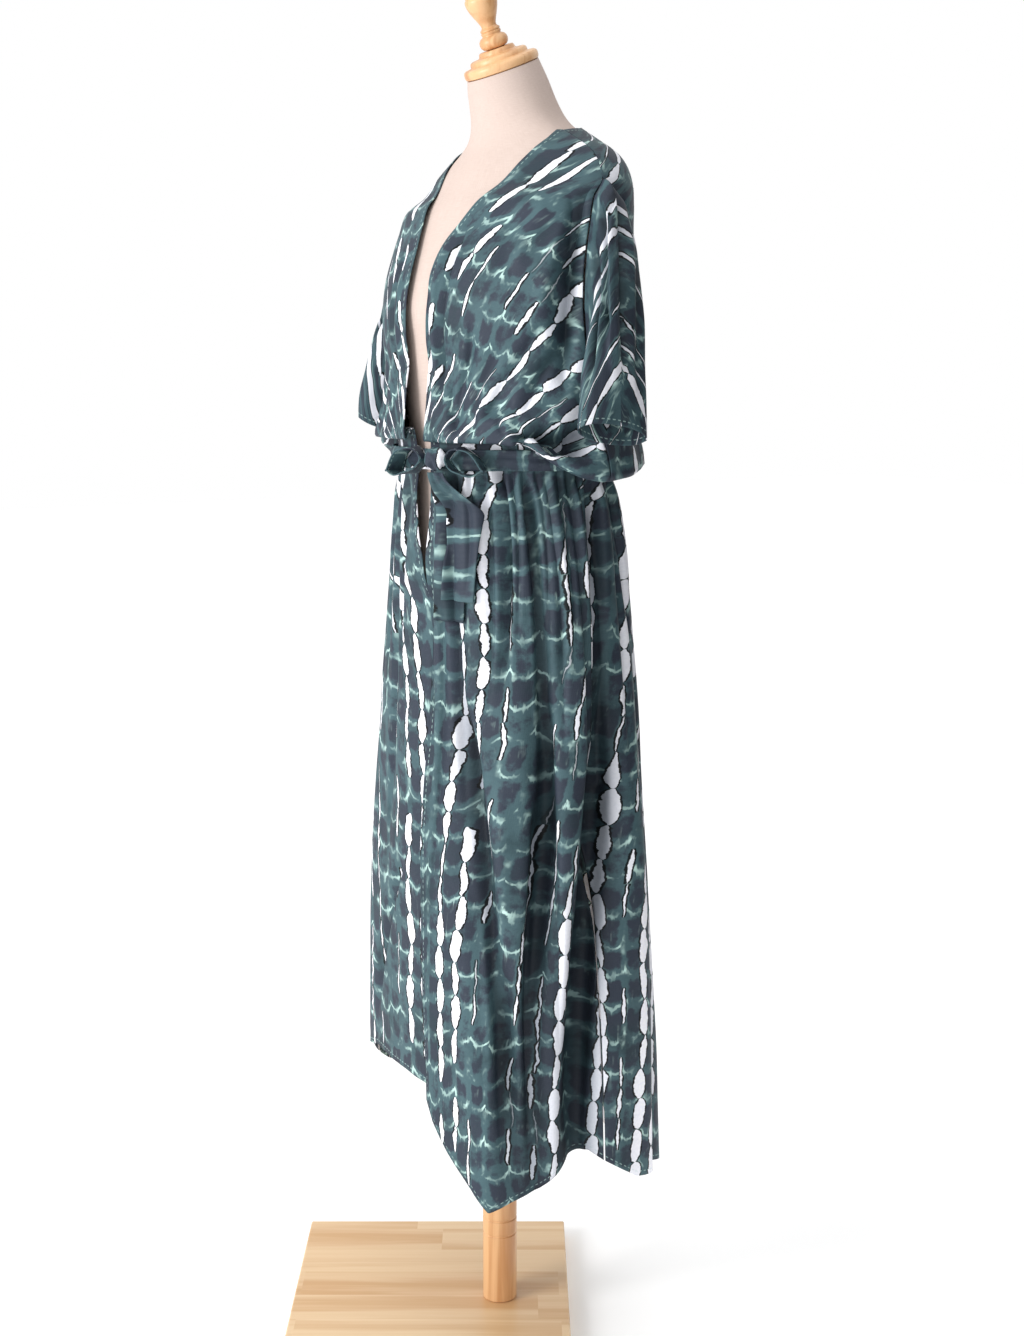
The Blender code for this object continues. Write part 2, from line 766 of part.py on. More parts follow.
class Tail(NamedTuple):
    """A free end of the belt: left and right edge low down, end height, distances from the coat."""

    name: str
    left: float
    right: float
    end: float
    away: float
    root_away: float


TAILS = (
    Tail("belt_tail_front", 0.064, 0.106, 0.957, 0.0055, 0.0160),
    Tail("belt_tail_back", 0.052, 0.094, 0.932, 0.0020, 0.0126),
)


def add_tail(tail, finish):
    """A free end of the belt, hanging from under the knot in front of the skirt."""
    top = KNOT_HEIGHT - KNOT_SIZE.z - KNOT_GAP
    root = belt_ring_point(KNOT_ANGLE, top, 0.0).x
    rows = []
    for down in range(TAIL_ROWS + 1):
        z = top + (tail.end - top) * (down / TAIL_ROWS) ** TAIL_CROWDING
        spread = smooth((top - z) / TAIL_SPREAD)
        middle = root + ((tail.left + tail.right) / 2 - root) * spread
        half = (tail.right - tail.left) / 2 * (TAIL_TOP_WIDTH + (1.0 - TAIL_TOP_WIDTH) * spread)
        away = tail.root_away + (tail.away - tail.root_away) * spread
        places = [middle + half * (2.0 * k / TAIL_COLUMNS - 1.0) for k in range(TAIL_COLUMNS + 1)]
        rows.append([tail_point(x, z, away) for x in places])
    add_cloth(tail.name, rows, finish, BOW_WALL, grows_out=True)


def main():
    """Clear the scene and build the coat, its belt, the form and the stand."""
    for old in list(bpy.data.objects):
        bpy.data.objects.remove(old)
    dyed = material("dyed cotton", (0.030, 0.085, 0.090), 0.6)
    linen = material("linen", (0.80, 0.68, 0.60), 0.85)
    turned_wood = material("turned wood", (0.62, 0.36, 0.17), 0.45)
    board_wood = material("board wood", (0.66, 0.43, 0.22), 0.45)

    add_board(board_wood)
    add_pole(turned_wood)
    add_form(linen)
    add_turned_top("neck_cap", CAP_PROFILE, turned_wood)
    add_turned_top("finial", FINIAL_PROFILE, turned_wood)

    add_back(dyed)
    add_front("front_left", 1, EDGE_LEFT, OVERLAP_LIFT, dyed)
    add_front("front_right", -1, [(z, -x) for z, x in EDGE_RIGHT], -OVERLAP_LIFT, dyed)
    add_sleeve("sleeve_left", 1, dyed)
    add_sleeve("sleeve_right", -1, dyed)

    add_belt(dyed)
    add_knot(dyed)
    for loop in BOW_LOOPS:
        add_bow(loop, dyed)
    for tail in TAILS:
        add_tail(tail, dyed)


main()
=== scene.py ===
"""The look of an open tie-dyed kimono coat on a linen dress form and a wooden stand.

Metres, +Z up. The wearer faces -Y, the wearer's left is +X, and the origin is on the floor
under the pole. Angles round the coat are in degrees: 0 at the centre front, +90 at the
wearer's left side, 180 at the centre back.
"""

import logging
import math
from dataclasses import dataclass, field
from enum import Enum
from typing import Callable, Sequence

import bmesh
import bpy
import numpy as np
from mathutils import Matrix, Vector


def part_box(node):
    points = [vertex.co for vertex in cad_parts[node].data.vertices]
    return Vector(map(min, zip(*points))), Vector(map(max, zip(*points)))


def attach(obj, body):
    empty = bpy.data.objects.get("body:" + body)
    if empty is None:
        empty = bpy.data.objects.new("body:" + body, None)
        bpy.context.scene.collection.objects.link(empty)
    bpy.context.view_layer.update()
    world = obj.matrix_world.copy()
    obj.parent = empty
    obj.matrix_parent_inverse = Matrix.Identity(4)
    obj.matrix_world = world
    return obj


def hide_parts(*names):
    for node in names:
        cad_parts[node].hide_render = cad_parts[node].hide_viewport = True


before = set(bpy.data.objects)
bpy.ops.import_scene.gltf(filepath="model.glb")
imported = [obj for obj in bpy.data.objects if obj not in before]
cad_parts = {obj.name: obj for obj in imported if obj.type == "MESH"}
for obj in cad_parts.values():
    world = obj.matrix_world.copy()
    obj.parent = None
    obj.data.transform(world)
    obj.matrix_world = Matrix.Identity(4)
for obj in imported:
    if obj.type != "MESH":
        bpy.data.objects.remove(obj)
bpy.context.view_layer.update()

LOG = logging.getLogger("kimono_coat")
Colour = tuple[float, float, float]
Table = Sequence[tuple[float, float]]
BOARD_TURN = 57.0
WHITE = (1.0, 1.0, 1.0)
CLOSE = 1e-6


class Side(Enum):
    """The wearer's side on which a piece lies."""

    LEFT = 1
    RIGHT = -1


# Small sums


def blended(table: Table, at: float) -> float:
    """Read a two-column table along straight lines between its rows."""
    return float(np.interp(at, [row[0] for row in table], [row[1] for row in table]))


def smooth(share: float) -> float:
    """Step softly from 0 to 1."""
    share = min(max(share, 0.0), 1.0)
    return share * share * (3.0 - 2.0 * share)


def soft_step(share: np.ndarray) -> np.ndarray:
    """Step softly from 0 to 1, for a whole array."""
    share = np.clip(share, 0.0, 1.0)
    return share * share * (3.0 - 2.0 * share)


def turned(angle: float) -> float:
    """Bring an angle between -180 and 180 degrees."""
    return (angle + 180.0) % 360.0 - 180.0


def oval(
    angle: float, side: float, front: float, back: float, centre_y: float, z: float,
    slope: float = 1.0,
) -> Vector:
    """Find a point of an oval whose front and back halves differ in depth.

    Args:
        angle: Where round the oval, in degrees.
        side: The half width.
        front: The front depth.
        back: The back depth.
        centre_y: The y of its middle.
        z: Its height.
        slope: Above 1, it flattens the front between its middle and the side.

    Returns:
        The point.
    """
    turn = math.radians(angle)
    wide = math.sin(turn)
    deep = math.cos(turn)
    if deep <= 0.0:
        return Vector((side * wide, centre_y - back * deep, z))
    flat = math.copysign(abs(wide) ** slope, wide)
    return Vector((side * flat, centre_y - front * deep**slope, z))


def outward(angle: float) -> Vector:
    """Give the level direction that points away from the axis."""
    turn = math.radians(angle)
    return Vector((math.sin(turn), -math.cos(turn), 0.0))


# Shader sums


def adding(operation: str, swapped: bool = False) -> Callable[..., "Wire"]:
    """Make a method that adds one Math node.

    Args:
        operation: The name of the sum.
        swapped: Whether the other value comes first.

    Returns:
        The method, which takes the other value where the sum has one.
    """

    def method(self: "Wire", other: "Wire | float" = 0.0) -> "Wire":
        """Add the node and give its result.

        Args:
            other: The other value, where the sum has one.

        Returns:
            The result.
        """
        made = self.tree.nodes.new("ShaderNodeMath")
        made.operation = operation
        for slot, value in enumerate((other, self) if swapped else (self, other)):
            if isinstance(value, Wire):
                self.tree.links.new(value.socket, made.inputs[slot])
            else:
                made.inputs[slot].default_value = value
        return Wire(self.tree, made.outputs[0])

    return method


class Wire:
    """An output socket that adds its Math nodes as an expression is written."""

    def __init__(self, tree: bpy.types.NodeTree, socket: bpy.types.NodeSocket) -> None:
        """Keep the tree and the socket."""
        self.tree = tree
        self.socket = socket

    __add__ = __radd__ = adding("ADD")
    __sub__ = adding("SUBTRACT")
    __rsub__ = adding("SUBTRACT", swapped=True)
    __mul__ = __rmul__ = adding("MULTIPLY")
    __truediv__ = adding("DIVIDE")
    __pow__ = adding("POWER")
    abs = adding("ABSOLUTE")
    floor = adding("FLOOR")
    fract = adding("FRACT")
    sin = adding("SINE")
    least = adding("MINIMUM")
    most = adding("MAXIMUM")
    over = adding("GREATER_THAN")

    def ramp(self, low: float, high: float) -> "Wire":
        """Step softly from 0 at low to 1 at high.

        Args:
            low: Where the step leaves 0.
            high: Where it reaches 1, below low for a falling step.

        Returns:
            The step.
        """
        made = self.tree.nodes.new("ShaderNodeMapRange")
        made.interpolation_type = "SMOOTHSTEP"
        self.tree.links.new(self.socket, made.inputs["Value"])
        ends = (low, high, 0.0, 1.0) if low < high else (high, low, 1.0, 0.0)
        for name, value in zip(("From Min", "From Max", "To Min", "To Max"), ends):
            made.inputs[name].default_value = value
        return Wire(self.tree, made.outputs["Result"])


Value = float | int | Colour | tuple[float, ...] | Wire


class Shader:
    """A new material, its Principled shader and the nodes that dress it."""

    def __init__(self, name: str, **constants: float | Colour) -> None:
        """Make the material.

        Args:
            name: The finish's name.
            constants: Values set on the shader's own sockets, with _ for a space.
        """
        self.material = bpy.data.materials.new(name)
        self.material.use_nodes = True
        self.tree = self.material.node_tree
        self.surface = self.tree.nodes["Principled BSDF"]
        for key, value in constants.items():
            socket = self.surface.inputs[key.replace("_", " ")]
            socket.default_value = (*value, 1.0) if isinstance(value, tuple) else value

    def node(
        self, kind: str, settings: dict | None = None, out: int | str = 0, **inputs: Value
    ) -> Wire:
        """Add any node but a sum.

        Args:
            kind: The node's type, without its prefix.
            settings: What is set on the node before its sockets.
            out: The output that is wanted.
            inputs: Socket values or links, with _ for a space.

        Returns:
            The wanted output.
        """
        made = self.tree.nodes.new("ShaderNode" + kind)
        for key, value in (settings or {}).items():
            setattr(made, key, value)
        for key, value in inputs.items():
            self.feed(made.inputs[key.replace("_", " ")], value)
        return Wire(self.tree, made.outputs[out])

    def feed(self, socket: bpy.types.NodeSocket, value: Value) -> None:
        """Link or set one socket.

        Args:
            socket: The input.
            value: The link or the constant.
        """
        if isinstance(value, Wire):
            self.tree.links.new(value.socket, socket)
        elif isinstance(value, tuple) and socket.type == "RGBA":
            socket.default_value = (*value, 1.0)
        else:
            socket.default_value = value

    def mix(
        self, share: Wire | float, first: Colour | Wire, second: Colour | Wire, how: str = "MIX"
    ) -> Wire:
        """Blend two colours.

        Args:
            share: How much of the second.
            first: The first colour.
            second: The second colour.
            how: The blend's name.

        Returns:
            The blended colour.
        """
        made = self.tree.nodes.new("ShaderNodeMix")
        made.data_type = "RGBA"
        made.blend_type = how
        self.feed(made.inputs[0], share)
        self.feed(made.inputs[6], first)
        self.feed(made.inputs[7], second)
        return Wire(self.tree, made.outputs[2])

    def split(self, where: Wire, axis: int) -> Wire:
        """Read one length of a place."""
        return self.node("SeparateXYZ", None, axis, Vector=where)

    def uv(self, layer: str) -> tuple[Wire, Wire]:
        """Read one of the piece's own layers as two lengths."""
        made = self.node("UVMap", {"uv_map": layer})
        return self.split(made, 0), self.split(made, 1)

    def stretched(self, where: Wire, *scale: float, turn: float = 0.0) -> Wire:
        """Turn a place about Z and scale it."""
        return self.node("Mapping", None, 0, Vector=where, Rotation=(0.0, 0.0, turn), Scale=scale)

    def noise(
        self, where: Wire, scale: float, detail: float = 2.0, rough: float = 0.5, bent: float = 0.0
    ) -> Wire:
        """Read soft noise at a place.

        Args:
            where: The place.
            scale: How fine.
            detail: How many finer layers.
            rough: How strong those are.
            bent: How much it is warped.

        Returns:
            The noise, from 0 to 1.
        """
        return self.node(
            "TexNoise", None, 0,
            Vector=where, Scale=scale, Detail=detail, Roughness=rough, Distortion=bent,
        )

    def joined(self, x: Value, y: Value, z: Value = 0.0) -> Wire:
        """Join three lengths to a place."""
        return self.node("CombineXYZ", None, 0, X=x, Y=y, Z=z)

    def place(self) -> Wire:
        """Read the place on the piece, in metres."""
        return self.node("TexCoord", None, "Object")

    def chance(self, x: Value, y: Value = 0.0) -> Wire:
        """Give a steady random number for a cell."""
        return self.node("TexWhiteNoise", {"noise_dimensions": "2D"}, 0, Vector=self.joined(x, y))

    def bumped(self, height: Wire, strength: float, distance: float) -> None:
        """Raise the surface by a height."""
        bump = self.node("Bump", None, 0, Height=height, Strength=strength, Distance=distance)
        self.feed(self.surface.inputs["Normal"], bump)

    def coloured(self, colour: Wire, rough: Wire | float | None = None) -> None:
        """Feed the surface its colour, and its roughness where that varies.

        Args:
            colour: The colour.
            rough: The roughness.
        """
        self.feed(self.surface.inputs["Base Color"], colour)
        if rough is not None:
            self.feed(self.surface.inputs["Roughness"], rough)


# Finishes


@dataclass(frozen=True)
class DyedCloth:
    """Cotton, pleated and bound before dyeing, with resist spots along its pleats.

    The layer "dye" gives the place across the pleats and along them, the layer "hem" the place
    along the nearest hem and the distance from it, all in metres, and the layer "fold" how deep
    in a fold the cloth lies, where the colour is darkened as painted shade, and how high on a
    ridge, where it is lightened as a painted highlight.
    """

    teal: Colour = (0.058, 0.110, 0.126)
    slate: Colour = (0.031, 0.040, 0.059)
    deep: Colour = (0.020, 0.040, 0.050)
    mint: Colour = (0.50, 0.71, 0.66)
    white: Colour = (0.86, 0.87, 0.93)
    line: Colour = (0.001, 0.002, 0.003)
    # Painted shade: this multiplies the colour in the hollows of folds.
    fold: Colour = (0.16, 0.19, 0.22)
    # Painted highlight: brighter than 1, this multiplies the colour on ridges.
    ridge: Colour = (1.35, 1.32, 1.30)
    worn: Colour = (0.66, 0.70, 0.76)
    pleat: float = 0.032
    tie: float = 0.040
    spot: float = 0.041
    spot_width: float = 0.0185
    stitch_place: float = 0.0058
    roughness: float = 0.55

    def web(self, s: Shader, place: Wire, x: Wire, row: Wire) -> Wire:
        """Draw the pale broken lines that the ties leave between the cells.

        Args:
            s: The shader.
            place: The place in the dye's own lengths.
            x: The place across, counted in pleats.
            row: The place along, counted in ties.

        Returns:
            How pale the cloth is, from 0 to 1.
        """
        off_fold = ((x - (x + 0.5).floor()) * self.pleat).abs()
        off_tie = ((row - (row + 0.5).floor()) * self.tie).abs()
        streak = s.noise(s.stretched(place, 150.0, 26.0, 1.0), 1.0, 2.0, 0.6)
        patchy = s.noise(place, 34.0, 3.0, 0.6)
        spread = streak.ramp(0.46, 0.80) * 0.011 + 0.0011
        tied = ((spread + 0.0010 - off_tie) / spread).most(0.0).least(1.0) * patchy.ramp(0.42, 0.60)
        fold = off_fold.ramp(0.0050, 0.0004) * s.noise(place, 27.0, 3.0, 0.6).ramp(0.54, 0.68)
        cloud = streak.ramp(0.50, 0.84) * patchy.ramp(0.52, 0.70) * 0.45
        return (tied * (0.50 + off_fold.ramp(0.014, 0.001) * 0.50) + fold * 0.42 + cloud).least(1.0)

    def spots(self, s: Shader, place: Wire, x: Wire, along: Wire, fine: Wire) -> tuple[Wire, Wire]:
        """Draw the white resist spots that are chained along some of the pleats.

        Args:
            s: The shader.
            place: The place in the dye's own lengths.
            x: The place across, counted in pleats.
            along: The place along, in metres.
            fine: Small noise about 0.

        Returns:
            How much of the dark outline shows, and how much of the white.
        """
        nearest = (x + 0.5).floor()
        luck = s.chance(nearest, 7.0)
        run = s.noise(s.joined(nearest * 3.7, along), 3.4, 1.0)
        spot_row = along / self.spot + luck * 5.0 + fine * 0.10 + run * 1.2
        number = spot_row.floor()
        spot_luck = s.chance(nearest, number)
        second = s.chance(number, nearest)
        from_fold = ((x - nearest) * self.pleat + (second - 0.5) * 0.0045 + fine * 0.004).abs()
        swell = (spot_row.fract() * math.pi).sin().most(0.0) ** 0.42
        rich = luck.over(0.44) * run.ramp(0.40, 0.46)
        shy = luck.over(0.16) * spot_luck.over(0.36)
        swell = (swell * 1.16 - (0.16 - rich * 0.06)).most(0.0)
        size = rich * (0.42 + spot_luck * 0.58) * self.spot_width * 0.5 * second.over(0.08)
        size = size + (1.0 - rich) * shy * (0.3 + second * 0.7) * 0.0026
        ragged = (s.noise(place, 110.0, 3.0, 0.65) - 0.5) * 0.0064
        reach = from_fold - swell * size + ragged * size.ramp(0.0, 0.004)
        there = size.ramp(0.0006, 0.0012) * swell.ramp(0.02, 0.10)
        return reach.ramp(0.0026, 0.0017) * there, reach.ramp(0.0001, -0.0003) * there

    def make(self) -> bpy.types.Material:
        """Build the material.

        Returns:
            The dyed cloth.
        """
        s = Shader("dyed_cloth", Roughness=self.roughness, Specular_IOR_Level=0.22)
        across, along = s.uv("dye")
        hem_along, from_hem = s.uv("hem")
        # How deep in a fold and how high on a ridge: these drive the painted shade and painted
        # highlight below.
        depth, height = s.uv("fold")
        place = s.joined(across, along)
        sway = s.noise(place, 8.0, 2.0) - 0.5
        fine = s.noise(place, 60.0, 3.0) - 0.5
        grain = s.noise(place, 260.0, 3.0)
        x = across / self.pleat + sway * 1.0 + fine * 0.16
        inside = ((x.fract() - 0.5) * 2.0).abs()
        row = along / self.tie - inside * inside * 0.22 + s.chance(x.floor()) * 0.30
        row = row + sway * 1.1 + fine * 0.36
        level = ((row.fract() - 0.5) * 2.0).abs()
        cell_luck = s.chance(x.floor(), row.floor())

        mottle = s.noise(place, 42.0, 4.0, 0.65)
        core = level.ramp(1.0, 0.35) * inside.ramp(1.0, 0.40) * (0.45 + cell_luck * 0.75)
        colour = s.mix((core + (mottle - 0.5) * 2.4).ramp(0.24, 0.78), self.teal, self.slate)
        cloudy = s.noise(place, 13.0, 4.0, 0.6)
        colour = s.mix(cloudy.ramp(0.46, 0.70) * 0.75, colour, self.deep)
        pale = self.web(s, place, x, row)
        colour = s.mix((pale * (0.80 + mottle * 0.4)).least(1.0), colour, self.mint)
        outline, white = self.spots(s, place, x, along, fine)
        colour = s.mix(outline * 0.96, colour, self.line)
        colour = s.mix(white, colour, self.white)

        seam = (from_hem - self.stitch_place).abs().ramp(0.0009, 0.0003)
        thread = ((hem_along * 900.0).sin() * 0.5 + 0.5).ramp(0.35, 0.6)
        colour = s.mix(seam * thread * 0.45, colour, self.mint)
        shade = s.mix(grain.ramp(0.35, 0.75) * 0.25, WHITE, self.worn)
        colour = s.mix(1.0, colour, shade, "MULTIPLY")
        # Painted highlight: the higher on a ridge, the lighter the colour is painted.
        colour = s.mix(height.least(1.0) * 0.45, colour, self.ridge, "MULTIPLY")
        # Painted shade: the deeper in a fold, the darker the colour is painted.
        colour = s.mix(depth.least(1.0) * 0.78, colour, self.fold, "MULTIPLY")
        s.coloured(colour, self.roughness + grain * 0.12)
        weft = (across * 2400.0).sin() * 0.5 + (along * 2400.0).sin() * 0.5
        groove = from_hem.ramp(0.0004, 0.0016)
        groove = groove * (from_hem - self.stitch_place).abs().ramp(0.0, 0.0016)
        s.bumped(weft * 0.3 + s.noise(place, 110.0, 3.0) + groove * 1.5, 0.22, 0.0006)
        return s.material


@dataclass(frozen=True)
class FormLinen:
    """Cream linen in a plain weave, stretched over the padding."""

    light: Colour = (0.625, 0.515, 0.465)
    dark: Colour = (0.545, 0.435, 0.382)
    threads: float = 1900.0

    def make(self) -> bpy.types.Material:
        """Build the material.

        Returns:
            The linen.
        """
        s = Shader("form_linen", Roughness=0.85, Specular_IOR_Level=0.2)
        place = s.place()
        across, along = s.uv("weave")
        slub = s.noise(s.joined(across * 60.0, along * 900.0), 1.0, 3.0)
        other = s.noise(s.joined(across * 900.0, along * 60.0), 1.0, 3.0)
        weave = (across * self.threads).sin() * (along * self.threads).sin()
        tone = (slub * 0.5 + other * 0.5).ramp(0.35, 0.65) * 0.6 + s.noise(place, 14.0, 3.0) * 0.3
        s.coloured(s.mix(tone, self.light, self.dark))
        s.bumped(weave * 0.5 + slub + other, 0.22, 0.0004)
        return s.material


@dataclass(frozen=True)
class PineWood:
    """Varnished pine: long grain, darker late wood and a few pores."""

    name: str
    light: Colour = (0.80, 0.50, 0.26)
    dark: Colour = (0.50, 0.22, 0.075)
    stretch: tuple[float, float, float] = (1.0, 1.0, 0.045)
    ring_scale: float = 46.0
    staves: float = 0.0
    stave_length: float = 0.34
    roughness: float = 0.38

    def make(self) -> bpy.types.Material:
        """Build the material.

        Returns:
            The wood.
        """
        s = Shader(self.name, Roughness=self.roughness, Coat_Weight=0.25, Coat_Roughness=0.25)
        place = s.place()
        flat = s.stretched(place, 1.0, 1.0, 1.0, turn=math.radians(-BOARD_TURN))
        x, y, z = (s.split(flat, axis) for axis in range(3))
        shift: Wire | float = 0.0
        tone: Wire | float = 0.0
        if self.staves:
            stave = (y / self.staves).floor()
            piece = ((x + s.chance(stave) * 0.7) / self.stave_length).floor()
            shift = s.chance(stave, piece) * 7.0
            tone = (s.chance(piece, stave) - 0.5) * 0.5
        wide, deep, tall = self.stretch
        spot = s.joined(x * wide + shift, y * deep + shift, z * tall)
        warp = s.noise(spot, 6.0, 2.0)
        lines = s.noise(spot, self.ring_scale, 4.0, bent=0.6)
        fine = s.noise(spot, self.ring_scale * 9.0, 3.0)
        share = lines.ramp(0.44, 0.64) * 0.60 + fine * 0.24 + warp * 0.16 + tone
        colour = s.mix(share.most(0.0).least(1.0), self.light, self.dark)
        s.coloured(colour, self.roughness + fine * 0.12)
        s.bumped(fine * 0.6 + lines, 0.10, 0.0004)
        return s.material


@dataclass(frozen=True)
class StudioFloor:
    """A plain pale floor."""

    colour: Colour = (0.95, 0.95, 0.95)
    cloud: Colour = (0.94, 0.94, 0.945)
    glow: float = 0.16

    def make(self) -> bpy.types.Material:
        """Build the material with a faint unevenness.

        Returns:
            The floor's material.
        """
        glow = self.glow
        s = Shader("studio_floor", Roughness=0.75, Emission_Color=WHITE, Emission_Strength=glow)
        s.coloured(s.mix(s.noise(s.place(), 2.0) * 0.2, self.colour, self.cloud))
        return s.material


# Meshes


def linked(name: str, data: bpy.types.ID) -> bpy.types.Object:
    """Make an object and put it in the scene.

    Args:
        name: The object's name.
        data: Its mesh, camera or light.

    Returns:
        The object.
    """
    made = bpy.data.objects.new(name, data)
    bpy.context.scene.collection.objects.link(made)
    return made


def meshed(name: str, bm: bmesh.types.BMesh, finish: bpy.types.Material) -> bpy.types.Object:
    """Make an object of a mesh, which is used up, and dress it.

    Args:
        name: The object's name.
        bm: Its mesh, which is used up.
        finish: Its material.

    Returns:
        The object.
    """
    mesh = bpy.data.meshes.new(name)
    bm.to_mesh(mesh)
    bm.free()
    mesh.materials.append(finish)
    return linked(name, mesh)


def faced(bm: bmesh.types.BMesh, face: bmesh.types.BMFace, out: Vector) -> None:
    """Turn all the faces over if this one faces away from the way out."""
    if face.normal.dot(out) < 0.0:
        bmesh.ops.reverse_faces(bm, faces=bm.faces)


def finished(
    name: str, bm: bmesh.types.BMesh, finish: bpy.types.Material, node: str,
    sharp: float | None = None,
) -> bpy.types.Object:
    """Make an object that stands for a node.

    Args:
        name: The piece's name.
        bm: Its mesh, which is used up.
        finish: Its material.
        node: The node that it replaces.
        sharp: The angle in degrees above which an edge stays sharp.

    Returns:
        The object.
    """
    made = meshed(name, bm, finish)
    made.data.shade_smooth()
    if sharp is not None:
        made.data.set_sharp_from_angle(angle=math.radians(sharp))
    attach(made, "root")
    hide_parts(node)
    LOG.info("%s: %d faces", name, len(made.data.polygons))
    return made


def laid_grid(
    points: np.ndarray, layers: dict[str, np.ndarray], closed: bool = False
) -> bmesh.types.BMesh:
    """Lay a grid's points on a surface.

    Args:
        points: Places by row and column.
        layers: For each named layer, two lengths for each place.
        closed: Whether the last column meets the first.

    Returns:
        The mesh.
    """
    rows, columns = points.shape[:2]
    bm = bmesh.new()
    bmesh.ops.create_grid(bm, x_segments=columns - 1, y_segments=rows - 1, size=1.0)
    spots = {}
    for vert in bm.verts:
        column = round((vert.co.x + 1.0) / 2.0 * (columns - 1))
        row = round((1.0 - vert.co.y) / 2.0 * (rows - 1))
        spots[vert] = (row, column)
    for name, layer in layers.items():
        uv = bm.loops.layers.uv.new(name)
        for face in bm.faces:
            for loop in face.loops:
                loop[uv].uv = layer[spots[loop.vert]]
    for vert, spot in spots.items():
        vert.co = points[spot]
    if closed:
        bmesh.ops.remove_doubles(bm, verts=bm.verts, dist=CLOSE)
        bmesh.ops.recalc_face_normals(bm, faces=bm.faces)
    return bm


def swept(
    rows: int, columns: int, at: Callable[[float, float], tuple[Vector, tuple[float, float]]]
) -> tuple[np.ndarray, np.ndarray]:
    """Work out a grid place by place.

    Args:
        rows: How many rows.
        columns: How many steps along a row.
        at: Gives the point and the dye's lengths at a share down and a share along.

    Returns:
        The points and the dye's layer.
    """
    points = np.zeros((rows, columns + 1, 3))
    layer = np.zeros((rows, columns + 1, 2))
    for row in range(rows):
        for column in range(columns + 1):
            points[row, column], layer[row, column] = at(row / (rows - 1), column / columns)
    return points, layer


def row_lengths(points: np.ndarray) -> np.ndarray:
    """Measure how far each place lies along its row."""
    steps = np.linalg.norm(np.diff(points, axis=1), axis=2)
    return np.concatenate([np.zeros((points.shape[0], 1)), np.cumsum(steps, axis=1)], axis=1)


def column_lengths(points: np.ndarray) -> np.ndarray:
    """Measure how far each place lies down its column."""
    return row_lengths(points.transpose(1, 0, 2)).T


def paired(first: np.ndarray, second: np.ndarray) -> np.ndarray:
    """Join two lengths for each place."""
    return np.stack(np.broadcast_arrays(first, second), axis=-1)


def walled(piece: bpy.types.Object, thickness: float, offset: float) -> None:
    """Give a sheet its thickness.

    Args:
        piece: The sheet.
        thickness: The wall.
        offset: 1 to grow along the normals, -1 against them.
    """
    wall = piece.modifiers.new("wall", "SOLIDIFY")
    wall.thickness = thickness
    wall.offset = offset


def through(rows: np.ndarray, count: int) -> tuple[np.ndarray, np.ndarray]:
    """Run smooth curves down through rows of points.

    Args:
        rows: Points by row and column.
        count: How many rows are wanted.

    Returns:
        The finer rows, and for each its place among the first ones.
    """
    gaps = np.linalg.norm(np.diff(rows, axis=0), axis=2).mean(axis=1)
    at = np.concatenate([[0.0], np.cumsum(gaps)])
    wanted = np.linspace(0.0, at[-1], count)
    index = np.clip(np.searchsorted(at, wanted, side="right") - 1, 0, len(at) - 2)
    share = ((wanted - at[index]) / (at[index + 1] - at[index]))[:, None, None]
    slopes = np.gradient(rows, at, axis=0)
    step = (at[index + 1] - at[index])[:, None, None]
    first, second = rows[index], rows[index + 1]
    m0, m1 = slopes[index] * step, slopes[index + 1] * step
    s2, s3 = share**2, share**3
    fine = (2 * s3 - 3 * s2 + 1) * first + (s3 - 2 * s2 + share) * m0
    fine += (-2 * s3 + 3 * s2) * second + (s3 - s2) * m1
    return fine, index + share[:, 0, 0]


def normals_of(points: np.ndarray) -> np.ndarray:
    """Find the direction out of a grid of points whose rows run down and columns run left.

    Args:
        points: Places by row and column.

    Returns:
        The directions.
    """
    down = np.gradient(points, axis=0)
    side = np.gradient(points, axis=1)
    made = np.cross(down, side)
    return made / np.maximum(np.linalg.norm(made, axis=2, keepdims=True), 1e-12)


# The dress form


@dataclass(frozen=True)
class FormRing:
    """One level of the form: height, half width, front and back depth, centre, slope.

    A slope above 1 flattens the front between its middle and the side, as below a shoulder.
    """

    z: float
    side: float
    front: float
    back: float
    centre_y: float
    slope: float = 1.0


